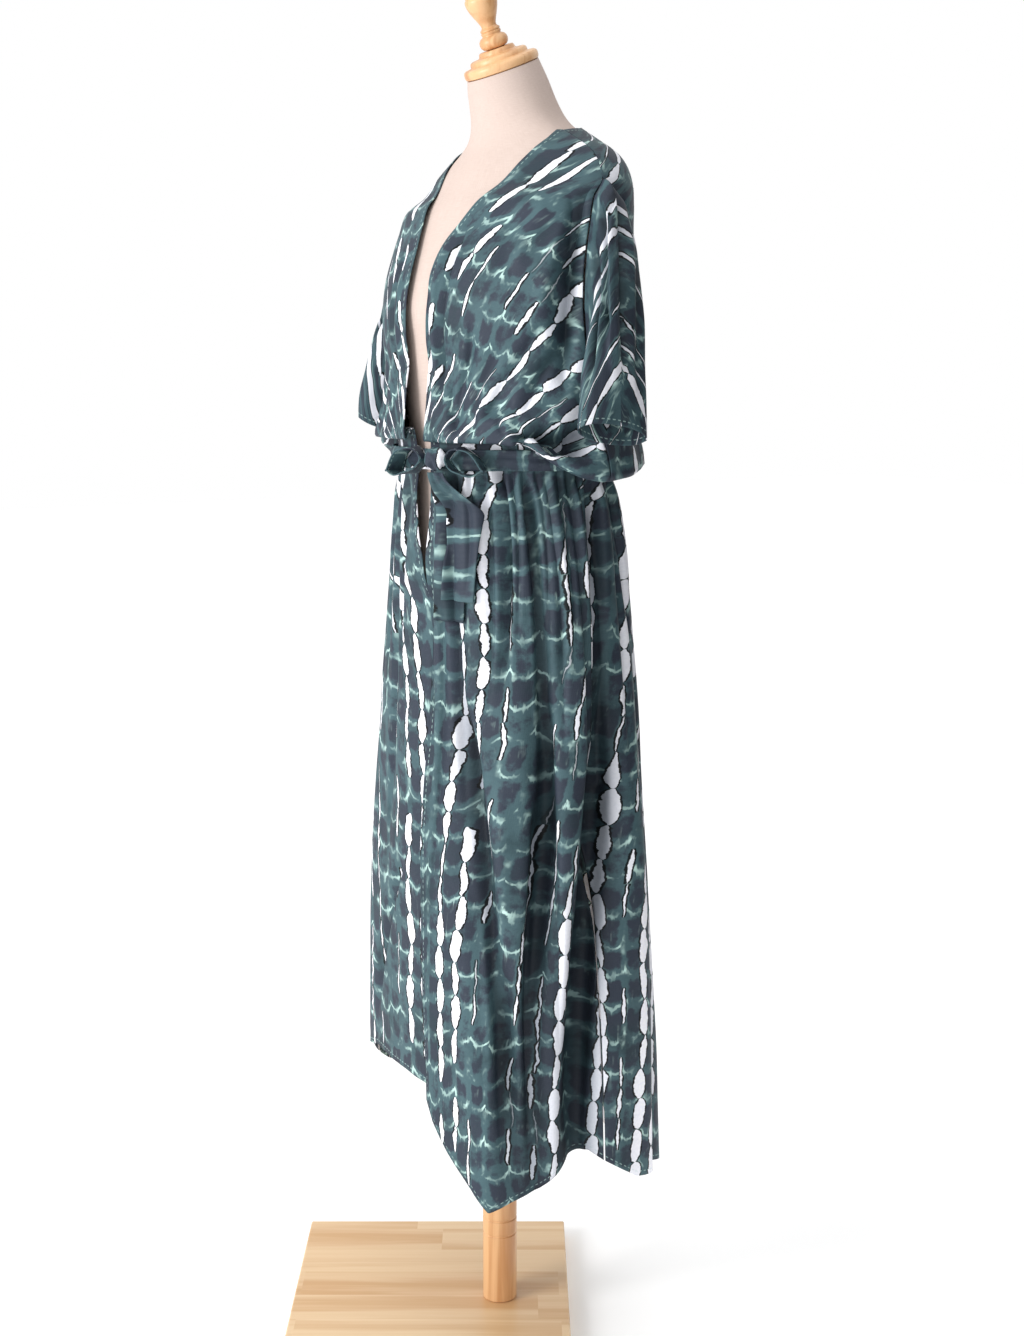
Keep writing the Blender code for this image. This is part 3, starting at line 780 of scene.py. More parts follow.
@dataclass
class DressForm:
    """The limbless form under the coat, from hip to neck."""

    rings: tuple[FormRing, ...] = (
        FormRing(0.745, 0.15, 0.1, 0.115, 0.01),
        FormRing(0.8, 0.16, 0.105, 0.125, 0.01),
        FormRing(0.88, 0.168, 0.112, 0.13, 0.01),
        FormRing(0.96, 0.158, 0.112, 0.12, 0.01),
        FormRing(1.04, 0.138, 0.11, 0.102, 0.01),
        FormRing(1.11, 0.124, 0.108, 0.092, 0.008),
        FormRing(1.18, 0.13, 0.11, 0.093, 0.004),
        FormRing(1.25, 0.142, 0.113, 0.1, 0.002),
        FormRing(1.295, 0.148, 0.117, 0.105, 0.002),
        FormRing(1.34, 0.154, 0.11, 0.116, 0.006),
        FormRing(1.385, 0.166, 0.096, 0.118, 0.012, 1.05),
        FormRing(1.41, 0.174, 0.087, 0.116, 0.016, 1.15),
        FormRing(1.43, 0.18, 0.078, 0.112, 0.02, 1.3),
        FormRing(1.452, 0.165, 0.07, 0.105, 0.024, 1.4),
        FormRing(1.468, 0.142, 0.064, 0.098, 0.027, 1.45),
        FormRing(1.48, 0.115, 0.06, 0.09, 0.029, 1.4),
        FormRing(1.492, 0.088, 0.058, 0.078, 0.03, 1.3),
        FormRing(1.508, 0.068, 0.054, 0.06, 0.028, 1.1),
        FormRing(1.535, 0.055, 0.051, 0.051, 0.02),
    )
    neck_radius: float = 0.0440
    neck_top: Vector = field(default_factory=lambda: Vector((0.0, 0.006, 1.570)))
    cap_tilt: float = 22.0
    length: float = 0.85
    columns: int = 128
    rows: int = 150

    def point(self, angle: float, z: float, grow: float = 0.0) -> Vector:
        """Find a point on the form below its neck.

        Args:
            angle: Where round the form.
            z: The height.
            grow: How far out of the surface.

        Returns:
            The point.
        """
        heights = [ring.z for ring in self.rings]
        sizes = [
            float(np.interp(z, heights, [getattr(ring, name) for ring in self.rings]))
            for name in ("side", "front", "back", "centre_y", "slope")
        ]
        slope = sizes.pop()
        return oval(angle, *sizes, z, slope) + outward(angle) * grow

    def tilt(self) -> Matrix:
        """Give the place of the cap on the neck."""
        turn = Matrix.Rotation(math.radians(self.cap_tilt), 4, "X")
        return Matrix.Translation(self.neck_top) @ turn

    def build(self, finish: bpy.types.Material) -> None:
        """Build the smooth cover.

        Args:
            finish: Its linen.
        """
        angles = [360.0 * step / self.columns for step in range(self.columns + 1)]
        rows = [[self.point(angle, ring.z) for angle in angles] for ring in reversed(self.rings)]
        low = self.rings[-1]
        for share in (0.5, 1.0):
            turn = Matrix.Rotation(math.radians(self.cap_tilt * share), 4, "X")
            centre = Vector((0.0, low.centre_y, low.z)).lerp(self.neck_top, share)
            side = low.side + (self.neck_radius - low.side) * share
            depth = low.front + (self.neck_radius - low.front) * share
            ring = [oval(angle, side, depth, depth, 0.0, 0.0) for angle in angles]
            rows.insert(0, [centre + turn @ point for point in ring])
        fine, _ = through(np.array(rows), self.rows)
        layer = np.zeros((*fine.shape[:2], 2))
        layer[..., 0] = np.linspace(0.0, 1.0, self.columns + 1)[None, :]
        layer[..., 1] = np.linspace(0.0, self.length, self.rows)[:, None]
        bm = laid_grid(fine, {"weave": layer}, closed=True)
        ends = [edge for edge in bm.edges if edge.is_boundary]
        bmesh.ops.holes_fill(bm, edges=ends)
        bmesh.ops.recalc_face_normals(bm, faces=bm.faces)
        finished("form_cover", bm, finish, "dress_form", sharp=50.0)


# The stand


@dataclass
class Stand:
    """The wooden board and pole, and the turned cap and finial on the neck."""

    segments: int = 96
    pole_radius: float = 0.022
    pole_lines: tuple[float, float] = (0.113, 0.134)
    line_depth: float = 0.0012
    line_widths: tuple[float, float] = (0.0018, 0.0007)
    cap: Table = (
        (0.0, 0.0003), (0.0425, 0.0003), (0.0447, 0.0016), (0.0455, 0.004), (0.0455, 0.0078),
        (0.0447, 0.0102), (0.0425, 0.0116), (0.0362, 0.0122), (0.035, 0.0132), (0.0348, 0.016),
        (0.0338, 0.018), (0.0318, 0.019), (0.024, 0.0198), (0.0222, 0.021), (0.0216, 0.0235),
        (0.0206, 0.0252), (0.019, 0.0256), (0.0, 0.0256),
    )
    finial: Table = (
        (0.0, 0.0258), (0.01, 0.0258), (0.014, 0.027), (0.0164, 0.0295), (0.0173, 0.033),
        (0.0168, 0.0365), (0.0148, 0.0394), (0.0114, 0.0412), (0.0112, 0.042), (0.0119, 0.0432),
        (0.0119, 0.0448), (0.011, 0.0458), (0.0119, 0.0468), (0.0118, 0.0482), (0.0104, 0.0492),
        (0.009, 0.051), (0.0092, 0.0535), (0.0108, 0.0575), (0.014, 0.064), (0.017, 0.071),
        (0.019, 0.0775), (0.0194, 0.082), (0.0186, 0.0846), (0.0172, 0.0858), (0.0174, 0.087),
        (0.0168, 0.09), (0.015, 0.0955), (0.012, 0.1005), (0.007, 0.1043), (0.0, 0.1055),
    )

    def turned_piece(self, profile: Table) -> bmesh.types.BMesh:
        """Spin a profile of radius and height about the upright axis.

        Args:
            profile: The radii and heights, from the bottom up.

        Returns:
            The closed mesh.
        """
        bm = bmesh.new()
        verts = [bm.verts.new((radius, 0.0, z)) for radius, z in profile]
        edges = [bm.edges.new(pair) for pair in zip(verts, verts[1:])]
        bmesh.ops.spin(
            bm, geom=[*verts, *edges], cent=(0, 0, 0), axis=(0, 0, 1),
            angle=2.0 * math.pi, steps=self.segments, use_merge=True,
        )
        bmesh.ops.remove_doubles(bm, verts=bm.verts, dist=1e-5)
        bmesh.ops.recalc_face_normals(bm, faces=bm.faces)
        return bm

    def build(
        self, form: DressForm, turned_wood: bpy.types.Material, board_wood: bpy.types.Material
    ) -> None:
        """Build the stand round the form.

        Args:
            form: The form, which places the cap.
            turned_wood: The finish of the turned pieces.
            board_wood: The finish of the board.
        """
        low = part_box("pole")[0][2]
        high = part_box("pole")[1][2]
        outer = self.pole_radius
        inner = outer - self.line_depth
        wide, narrow = self.line_widths
        profile = [(0.0, low), (inner, low), (outer, low + self.line_depth)]
        for z in self.pole_lines:
            profile += [(outer, z - wide), (inner, z - narrow)]
            profile += [(inner, z + narrow), (outer, z + wide)]
        profile += [(outer, high), (0.0, high)]
        bm = self.turned_piece(profile)
        finished("round_pole", bm, turned_wood, "pole", sharp=35.0)
        pieces = (("turned_cap", self.cap, "neck_cap"), ("turned_finial", self.finial, "finial"))
        for name, table, node in pieces:
            bm = self.turned_piece(table)
            bmesh.ops.transform(bm, verts=bm.verts, matrix=form.tilt())
            finished(name, bm, turned_wood, node, sharp=40.0)
        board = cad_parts["base_board"]
        board.data.materials.clear()
        board.data.materials.append(board_wood)


# The coat


@dataclass(frozen=True)
class CoatRow:
    """One level of the upper body: heights at front, side and back, half sizes, ripple."""

    z_front: float
    z_side: float
    z_back: float
    side: float
    front: float
    back: float
    gather: float


@dataclass(frozen=True)
class Fold:
    """One hanging fold: angle at the belt and at the hem, depth, width, height of its start."""

    top_angle: float
    hem_angle: float
    depth: float
    width: float
    start_z: float


@dataclass(frozen=True)
class Crease:
    """A soft trough, or a ridge where the depth is negative, from one place to another.

    With a lean, one flank is steep and the other long, as where a fold lies over.
    """

    angle: float
    z: float
    to_angle: float
    to_z: float
    depth: float
    width: float
    lean: float = 0.0

    def reach(self, angles: np.ndarray, z: np.ndarray) -> np.ndarray:
        """Find how deep the crease is at each place.

        Args:
            angles: Where round the coat.
            z: The heights.

        Returns:
            The depths.
        """
        radius = 0.18
        x = np.radians((angles - self.angle + 180.0) % 360.0 - 180.0) * radius
        y = z - self.z
        to_x = math.radians(self.to_angle - self.angle) * radius
        to_y = self.to_z - self.z
        length = math.hypot(to_x, to_y)
        along = (x * to_x + y * to_y) / length**2
        off = (x * to_y - y * to_x) / length
        inside = np.clip(along, 0.0, 1.0)
        taper = soft_step(inside * 7.0) * soft_step((1.0 - inside) * 2.6)
        bend = off + min(0.006, self.width * 0.6) * np.sin(along * 5.0 + self.angle)
        width = self.width * (1.0 + self.lean * np.tanh(bend / (self.width * 0.5)))
        return self.depth * np.exp(-((bend / width) ** 2)) * taper


def creases(*rows: tuple[float, ...]) -> tuple[Crease, ...]:
    """Read creases from rows of their fields, in their order."""
    return tuple(Crease(*row) for row in rows)


BODICE_CREASES = creases(
    (15.5, 1.38, 15.5, 1.14, -0.004, 0.0045), (20.5, 1.39, 20.0, 1.14, 0.0065, 0.0045, 0.5),
    (11.5, 1.33, 12.0, 1.15, 0.003, 0.0035), (80.0, 1.44, 70.0, 1.16, 0.019, 0.017, 0.4),
    (71.0, 1.42, 62.0, 1.23, -0.005, 0.014), (47.0, 1.146, 94.0, 1.15, 0.03, 0.0125),
    (58.0, 1.14, 90.0, 1.14, 0.015, 0.01), (34.0, 1.16, 88.0, 1.182, -0.008, 0.009),
    (26.0, 1.148, 33.0, 1.29, 0.006, 0.007, 0.4), (31.0, 1.146, 46.0, 1.26, 0.0065, 0.008, -0.4),
    (38.0, 1.15, 66.0, 1.3, 0.006, 0.009, 0.4), (48.0, 1.16, 74.0, 1.245, 0.007, 0.008, -0.3),
    (24.0, 1.146, 25.0, 1.22, 0.005, 0.0045), (44.0, 1.148, 50.0, 1.2, 0.004, 0.005),
    (56.0, 1.165, 64.0, 1.2, 0.0035, 0.006), (40.0, 1.4, 52.0, 1.3, 0.003, 0.012),
    (60.0, 1.4, 45.0, 1.33, -0.0025, 0.012), (-16.0, 1.37, -14.0, 1.15, 0.0045, 0.005, -0.4),
    (-9.0, 1.34, -8.0, 1.15, -0.003, 0.0045), (-24.0, 1.148, -30.0, 1.27, 0.006, 0.007, -0.4),
    (-34.0, 1.148, -52.0, 1.27, 0.0065, 0.008, 0.4), (-44.0, 1.155, -70.0, 1.26, 0.0065, 0.009),
    (-79.0, 1.44, -68.0, 1.17, 0.017, 0.016, -0.4), (-47.0, 1.146, -94.0, 1.15, 0.028, 0.012),
    (-20.0, 1.146, -20.0, 1.22, 0.0045, 0.005), (104.0, 1.44, 128.0, 1.16, 0.012, 0.015, -0.3),
    (120.0, 1.15, 142.0, 1.3, 0.007, 0.009, 0.3), (138.0, 1.14, 152.0, 1.33, 0.006, 0.009, -0.3),
    (156.0, 1.14, 160.0, 1.29, 0.0055, 0.008), (176.0, 1.14, 177.0, 1.34, 0.006, 0.009, 0.4),
    (-163.0, 1.14, -166.0, 1.28, 0.0055, 0.008), (-142.0, 1.14, -154.0, 1.33, 0.0065, 0.009, 0.3),
    (-124.0, 1.15, -144.0, 1.3, 0.007, 0.009, -0.3),
    (-106.0, 1.44, -128.0, 1.16, 0.012, 0.015, 0.3), (148.0, 1.14, 150.0, 1.21, 0.0045, 0.005),
    (-150.0, 1.14, -150.0, 1.21, 0.0045, 0.005),
)
SKIRT_CREASES = creases(
    (50.0, 1.15, 48.5, 0.82, 0.016, 0.008, 0.5), (62.0, 1.15, 58.0, 0.42, 0.017, 0.0085, -0.6),
    (58.5, 0.76, 55.0, 0.23, 0.012, 0.011, -0.4), (20.0, 1.06, 33.0, 0.66, 0.011, 0.0095, -0.5),
    (30.0, 0.86, 47.0, 0.22, 0.0155, 0.012, -0.5), (104.0, 1.12, 92.0, 0.6, 0.016, 0.014, 0.5),
    (96.0, 0.8, 76.0, 0.22, 0.024, 0.019, 0.5), (36.0, 1.15, 32.0, 0.94, 0.006, 0.006, -0.4),
    (43.0, 1.15, 40.0, 0.8, 0.0075, 0.007, 0.4), (56.0, 1.15, 54.0, 0.9, 0.006, 0.006, 0.4),
    (68.0, 1.15, 66.5, 0.88, 0.006, 0.006, -0.4), (74.0, 1.15, 71.0, 0.76, 0.0075, 0.0075, 0.4),
    (80.0, 1.15, 79.0, 0.9, 0.0055, 0.006), (86.0, 1.15, 83.0, 0.7, 0.0075, 0.008, -0.4),
    (92.0, 1.15, 91.0, 0.92, 0.0055, 0.006), (98.0, 1.15, 100.0, 0.86, 0.006, 0.007),
    (27.0, 1.12, 24.0, 0.88, 0.006, 0.006, 0.4), (15.5, 1.13, 14.0, 0.7, 0.005, 0.005, 0.4),
    (18.5, 0.98, 17.5, 0.56, 0.0045, 0.005, -0.4), (44.0, 0.76, 40.0, 0.33, -0.005, 0.011),
    (67.0, 0.86, 65.0, 0.35, 0.006, 0.01, 0.4), (36.0, 0.64, 36.0, 0.28, 0.005, 0.009, 0.4),
    (112.0, 1.15, 110.0, 0.7, 0.008, 0.008, -0.4), (122.0, 1.15, 122.0, 0.85, 0.007, 0.007, 0.4),
    (134.0, 1.15, 133.0, 0.56, 0.011, 0.011, -0.4), (145.0, 1.15, 147.0, 0.86, 0.0065, 0.007),
    (156.0, 1.15, 158.0, 0.42, 0.011, 0.011, 0.4), (167.0, 1.15, 167.0, 0.9, 0.0065, 0.007),
    (176.0, 1.15, 178.0, 0.5, 0.01, 0.01, -0.4), (-173.0, 1.15, -172.0, 0.86, 0.0065, 0.007),
    (-162.0, 1.15, -161.0, 0.48, 0.0105, 0.011, 0.4), (-150.0, 1.15, -150.0, 0.82, 0.0065, 0.007),
    (-139.0, 1.15, -138.0, 0.46, 0.011, 0.011, -0.4), (-127.0, 1.15, -126.0, 0.84, 0.007, 0.007),
    (-116.0, 1.15, -112.0, 0.52, 0.011, 0.011, 0.4), (-104.0, 1.15, -103.0, 0.86, 0.0065, 0.007),
    (-94.0, 1.12, -90.0, 0.48, 0.012, 0.012, -0.5), (-84.0, 1.15, -84.0, 0.86, 0.006, 0.006),
    (-75.0, 1.15, -74.0, 0.6, 0.0085, 0.008, 0.4), (-66.0, 1.15, -66.0, 0.86, 0.006, 0.006),
    (-56.0, 1.15, -56.0, 0.52, 0.009, 0.009, -0.4), (-47.0, 1.15, -45.0, 0.84, 0.006, 0.006),
    (-38.0, 1.15, -35.0, 0.62, 0.008, 0.008, 0.4), (-29.0, 1.15, -25.0, 0.82, 0.006, 0.006),
    (-20.0, 1.15, -15.0, 0.6, 0.007, 0.007, -0.4), (-12.0, 1.12, -8.0, 0.8, 0.005, 0.005, 0.4),
    (-4.0, 0.64, -28.0, 0.38, 0.008, 0.008, 0.4),
)


@dataclass
class CoatSurface:
    """The inner face of the coat's body, by angle and row."""

    form: DressForm
    seat_gap: float = 0.0014
    centre_y: float = 0.012
    skirt_top: float = 1.098
    side_angle: float = 90.0
    pouch_reach: float = 50.0
    gathers: int = 20
    gather_depth: float = 0.0036
    gather_reach: float = 0.17
    bodice_rows: float = 11.5
    blend_rows: float = 1.5
    deepest: float = 0.03
    form_gap: float = 0.0025
    overlap: float = 0.0028
    seam_gap: float = 0.0009
    armhole_top: float = 1.430
    armhole_low: float = 1.208
    armhole_front_angle: float = 8.0
    armhole_back_angle: float = 24.0
    shoulder_rows: tuple[tuple[float, float], ...] = (
        (1.491, 1.504), (1.48, 1.48), (1.468, 1.468), (1.452, 1.452), (1.43, 1.43),
    )
    body_rows: tuple[CoatRow, ...] = (
        CoatRow(1.41, 1.41, 1.41, 0.187, 0.088, 0.1235, 0.0),
        CoatRow(1.385, 1.385, 1.385, 0.188, 0.102, 0.1225, 0.0),
        CoatRow(1.36, 1.36, 1.36, 0.188, 0.115, 0.123, 0.0),
        CoatRow(1.325, 1.325, 1.325, 0.188, 0.129, 0.124, 0.0),
        CoatRow(1.29, 1.29, 1.29, 0.187, 0.135, 0.124, 0.0),
        CoatRow(1.255, 1.255, 1.255, 0.186, 0.135, 0.124, 0.0),
        CoatRow(1.228, 1.228, 1.228, 0.185, 0.132, 0.125, 0.0),
        CoatRow(1.205, 1.208, 1.205, 0.185, 0.135, 0.127, 0.001),
        CoatRow(1.182, 1.172, 1.175, 0.19, 0.137, 0.129, 0.0016),
        CoatRow(1.16, 1.14, 1.145, 0.199, 0.139, 0.13, 0.0018),
        CoatRow(1.147, 1.116, 1.124, 0.209, 0.14, 0.13, 0.0014),
        CoatRow(1.141, 1.101, 1.114, 0.2115, 0.1395, 0.129, 0.0006),
        CoatRow(1.141, 1.098, 1.111, 0.201, 0.138, 0.125, 0.0),
        CoatRow(1.147, 1.122, 1.128, 0.174, 0.135, 0.12, 0.0),
        CoatRow(1.153, 1.156, 1.156, 0.153, 0.131, 0.116, 0.0),
        CoatRow(1.138, 1.138, 1.138, 0.148, 0.128, 0.112, 0.0),
        CoatRow(1.118, 1.118, 1.118, 0.148, 0.128, 0.112, 0.0),
    )
    skirt_rings: tuple[tuple[float, float, float, float], ...] = (
        (0.2, 0.224, 0.155, 0.18), (0.45, 0.219, 0.152, 0.167), (0.65, 0.211, 0.147, 0.154),
        (0.8, 0.2, 0.142, 0.144), (0.92, 0.186, 0.137, 0.135), (1.0, 0.174, 0.134, 0.128),
        (1.06, 0.16, 0.13, 0.12), (1.098, 0.1485, 0.128, 0.1125),
    )
    skirt_shares: tuple[float, ...] = (
        0.0, 0.02, 0.04, 0.065, 0.09, 0.125, 0.16, 0.2, 0.25, 0.3, 0.36, 0.42, 0.48, 0.54,
        0.6, 0.66, 0.72, 0.78, 0.83, 0.88, 0.92, 0.96, 1.0,
    )
    hem_left: Table = (
        (0, 0.365), (12, 0.36), (17, 0.318), (24, 0.287), (34, 0.253), (40, 0.226), (50, 0.24),
        (60, 0.257), (74, 0.295), (84, 0.301), (104, 0.26), (128, 0.245), (150, 0.22), (180, 0.205),
    )
    hem_right: Table = (
        (0, 0.365), (24, 0.366), (40, 0.35), (60, 0.302), (90, 0.262), (105, 0.258),
        (140, 0.222), (180, 0.205),
    )
    folds: tuple[Fold, ...] = (
        Fold(16.0, 48.0, 0.013, 7.0, 1.02),
        Fold(62.0, 58.0, 0.016, 6.5, 1.09),
        Fold(104.0, 78.0, 0.027, 11.0, 1.08),
        Fold(130.0, 126.0, 0.017, 8.0, 1.04),
        Fold(150.0, 154.0, 0.015, 8.0, 1.08),
        Fold(178.0, 180.0, 0.013, 8.0, 1.0),
        Fold(-152.0, -154.0, 0.016, 8.0, 1.06),
        Fold(-127.0, -126.0, 0.016, 8.0, 1.08),
        Fold(-99.0, -94.0, 0.028, 10.0, 1.05),
        Fold(-60.0, -66.0, 0.016, 8.0, 1.09),
        Fold(-34.0, -34.0, -0.007, 9.0, 0.98),
        Fold(34.0, 38.0, -0.008, 8.0, 0.9),
        Fold(112.0, 112.0, -0.008, 8.0, 0.98),
        Fold(-80.0, -80.0, -0.007, 8.0, 0.98),
    )
    edge_left: Table = (
        (0.2, 0.056), (0.36, 0.053), (0.65, 0.037), (0.79, 0.044), (0.92, 0.044), (1.0, 0.03),
        (1.1, 0.033), (1.16, 0.035), (1.345, 0.034), (1.362, 0.039), (1.39, 0.055),
        (1.416, 0.069), (1.452, 0.086), (1.475, 0.094), (1.491, 0.096),
    )
    edge_right: Table = (
        (0.2, 0.078), (0.85, 0.07), (0.95, 0.046), (0.98, 0.022), (1.03, 0.008), (1.1, 0.0),
        (1.16, -0.006), (1.345, -0.012), (1.39, -0.032), (1.416, -0.045), (1.452, -0.068),
        (1.475, -0.088), (1.491, -0.096),
    )

    def skirt_start(self) -> int:
        """Give the number of the first skirt row."""
        return len(self.shoulder_rows) + len(self.body_rows)

    def count(self) -> int:
        """Give the number of rows."""
        return self.skirt_start() + len(self.skirt_shares)

    def fold(self, angle: float, z: float) -> float:
        """Find how far the folds and gathers move the skirt.

        Args:
            angle: Where round the coat.
            z: The height.

        Returns:
            The move, outwards.
        """
        moved = 0.0
        for fold in self.folds:
            fall = smooth((self.skirt_top - z) / (self.skirt_top - 0.25))
            middle = fold.top_angle + (fold.hem_angle - fold.top_angle) * fall
            off = turned(angle - middle) / fold.width
            moved -= fold.depth * math.exp(-off * off) * smooth((fold.start_z - z) / 0.42)
        below = (self.skirt_top - z) / self.gather_reach
        strength = smooth(below / 0.14) * smooth(1.0 - below)
        return moved + self.gather_depth * strength * math.cos(math.radians(self.gathers * angle))

    def hem(self, angle: float) -> float:
        """Find the height of the hem."""
        angle = turned(angle)
        return blended(self.hem_left if angle >= 0.0 else self.hem_right, abs(angle))

    def skirt_sizes(self, z: float) -> list[float]:
        """Read the skirt's half sizes at a height.

        Args:
            z: The height.

        Returns:
            The side, front and back sizes.
        """
        heights = [ring[0] for ring in self.skirt_rings]
        columns = ([ring[column] for ring in self.skirt_rings] for column in (1, 2, 3))
        return [float(np.interp(z, heights, column)) for column in columns]

    def point(self, angle: float, index: int, lift: float = 0.0) -> Vector:
        """Find the point of the inner face at an angle on a row.

        Args:
            angle: Where round the coat.
            index: The row's number, from the neck down.
            lift: How far out of the surface.

        Returns:
            The point.
        """
        if index < len(self.shoulder_rows):
            z_side, z_back = self.shoulder_rows[index]
            away = max(-math.cos(math.radians(angle)), 0.0)
            place = self.form.point(angle, z_side + (z_back - z_side) * away, self.seat_gap + lift)
            place.z += self.seat_gap
            return place
        if index < self.skirt_start():
            row = self.body_rows[index - len(self.shoulder_rows)]
            off = abs(turned(angle)) - self.side_angle
            z_middle = row.z_back if off > 0.0 else row.z_front
            z = row.z_side + (z_middle - row.z_side) * smooth(abs(off) / self.pouch_reach)
            place = oval(angle, row.side, row.front, row.back, self.centre_y, z)
            ripple = row.gather * math.cos(math.radians(self.gathers * angle))
            return place + outward(angle) * (ripple + lift)
        share = self.skirt_shares[index - self.skirt_start()]
        z = self.skirt_top + (self.hem(angle) - self.skirt_top) * share
        place = oval(angle, *self.skirt_sizes(z), self.centre_y, z)
        return place + outward(angle) * (self.fold(angle, z) + lift)

    def relief(self, angles: np.ndarray, z: np.ndarray, place: np.ndarray) -> np.ndarray:
        """Find how far the creases move the cloth.

        Args:
            angles: Where round the coat.
            z: The heights.
            place: The place among the rows.

        Returns:
            The moves, outwards.
        """
        low = len(self.shoulder_rows) + self.bodice_rows
        on_bodice = 1.0 - soft_step((place - low) / self.blend_rows)
        on_skirt = soft_step((place - self.skirt_start() + self.blend_rows) / self.blend_rows)
        bodice = sum(crease.reach(angles, z) for crease in BODICE_CREASES)
        skirt = sum(crease.reach(angles, z) for crease in SKIRT_CREASES)
        return -bodice * on_bodice - skirt * on_skirt

    def room(self, points: np.ndarray) -> np.ndarray:
        """Find about how far in the cloth can go before it meets the form.

        Args:
            points: Places by row and column.

        Returns:
            The room, in metres.
        """
        heights = [ring.z for ring in self.form.rings]
        z = points[..., 2]
        side, front, back, centre = (
            np.interp(z, heights, [getattr(ring, name) for ring in self.form.rings])
            for name in ("side", "front", "back", "centre_y")
        )
        y = points[..., 1] - centre
        depth = np.where(y < 0.0, front, back)
        away = (np.hypot(points[..., 0] / side, y / depth) - 1.0) * np.minimum(side, depth)
        room = np.clip(away - self.form_gap, 0.0, self.deepest)
        return np.where(z < heights[0] - 0.01, self.deepest, room)

    def armhole(self, index: int) -> float:
        """Find how deep the armhole is on a row, from 0 at its ends to 1 at its middle.

        Args:
            index: The row's number.

        Returns:
            The depth.
        """
        z = self.point(self.side_angle, index).z
        half = (self.armhole_top - self.armhole_low) / 2
        inside = 1.0 - ((z - self.armhole_low - half) / half) ** 2
        if index > len(self.shoulder_rows) + 7 or inside <= 0.0:
            return 0.0
        return math.sqrt(inside)

    def edge(self, index: int, table: Table) -> float:
        """Find the angle at which a row meets the open front edge.

        Args:
            index: The row's number.
            table: The edge's x by height.

        Returns:
            The angle.
        """
        low, high = -78.0, 78.0
        for _ in range(20):
            middle = (low + high) / 2
            point = self.point(middle, index)
            if point.x < blended(table, point.z):
                low = middle
            else:
                high = middle
        return high

    def inset(self, index: int) -> float:
        """Give half of the gap at a side seam, as an angle."""
        return math.degrees(self.seam_gap / self.point(self.side_angle, index).x)


@dataclass
class Panel:
    """One panel of the coat's body, laid as a fine sheet."""

    surface: CoatSurface
    columns: int
    rows: int
    wall: float = 0.0012
    clear: float = 0.0003
    crumple: float = 0.0012
    most_out: float = 0.009
    belt_out: float = 0.0006
    free_reach: float = 0.1
    # The next three set how the folds get painted shade and the ridges a painted highlight.
    painted_shade_start: float = 0.004
    painted_shade_depth: float = 0.017
    painted_highlight_height: float = 0.006

    def spans(self) -> list[tuple[float, float]]:
        """Give the first and last angle of each row."""
        raise NotImplementedError

    def lift(self, angle: float, index: int) -> float:
        """Give how far the panel stands out of the coat's surface."""
        return 0.0

    def dye(self, arc: np.ndarray, points: np.ndarray, place: np.ndarray) -> np.ndarray:
        """Lay the dye's two lengths on the panel."""
        return paired(arc, points[..., 2])

    def hem(self, arc: np.ndarray, down: np.ndarray) -> np.ndarray:
        """Measure along and away from the panel's nearest hem."""
        below = down[-1:] - down
        return paired(arc, np.minimum(below, down))

    def points(self) -> tuple[np.ndarray, dict[str, np.ndarray]]:
        """Work out the panel's places and its layers.

        Returns:
            The places by row and column, and the named layers.
        """
        spans = self.spans()
        shares = np.linspace(0.0, 1.0, self.columns)
        coarse = []
        angle_rows = []
        for index, (start, stop) in enumerate(spans):
            angles = start + (stop - start) * shares
            angle_rows.append(angles)
            coarse.append([self.surface.point(a, index, self.lift(a, index)) for a in angles])
        fine, place = through(np.array(coarse), self.rows)
        row_numbers = np.arange(len(spans))
        columns = np.array(angle_rows)
        angles = np.stack([np.interp(place, row_numbers, column) for column in columns.T], axis=1)
        down = column_lengths(fine)
        arc = arc_length(fine, angles)
        layers = {"dye": self.dye(arc, fine, place), "hem": self.hem(arc, down)}
        s = self.surface
        z = fine[..., 2]
        hang = np.array([[s.fold(a, z) for a, z in zip(*row)] for row in zip(angles, z)])
        normal = normals_of(fine)
        away = fine[..., :2] - np.array((0.0, s.centre_y))
        if (normal[..., :2] * away).sum() < 0.0:
            normal = -normal
        place = place[:, None]
        relief = s.relief(angles, z, place)
        free = soft_step((s.skirt_top - z) / self.free_reach) * (place >= s.skirt_start())
        dip = relief + hang * free
        # Painted light: shade painted into the fold hollows and a highlight painted on the ridges,
        # by how far the cloth is moved in or out.
        shade = np.clip((-self.painted_shade_start - dip) / self.painted_shade_depth, 0.0, 1.0) ** 1.1
        layers["fold"] = paired(shade, np.clip(dip / self.painted_highlight_height, 0.0, 1.0))
        moved = self.clear + relief
        moved = moved + self.crumple * (crumple(angles, z) * (0.35 + 0.65 * free) + 0.35)
        at_belt = soft_step((place - s.skirt_start() + 4.0) / 2.0) * soft_step((z - 1.06) / 0.035)
        most = self.most_out * (1.0 - at_belt) + self.belt_out * at_belt
        fine = fine + normal * np.clip(moved, self.clear - s.room(fine), most)[..., None]
        return fine, layers

    def build(self, name: str, node: str, finish: bpy.types.Material) -> bpy.types.Object:
        """Build the panel.

        Args:
            name: The piece's name.
            node: The node that it replaces.
            finish: Its cloth.

        Returns:
            The piece.
        """
        points, layers = self.points()
        bm = laid_grid(points, layers)
        face = max(bm.faces, key=lambda f: f.calc_center_median().z)
        middle = face.calc_center_median()
        faced(bm, face, Vector((middle.x, middle.y - 0.03, 0.02)))
        piece = finished(name, bm, finish, node)
        walled(piece, self.wall, 1.0)
        return piece


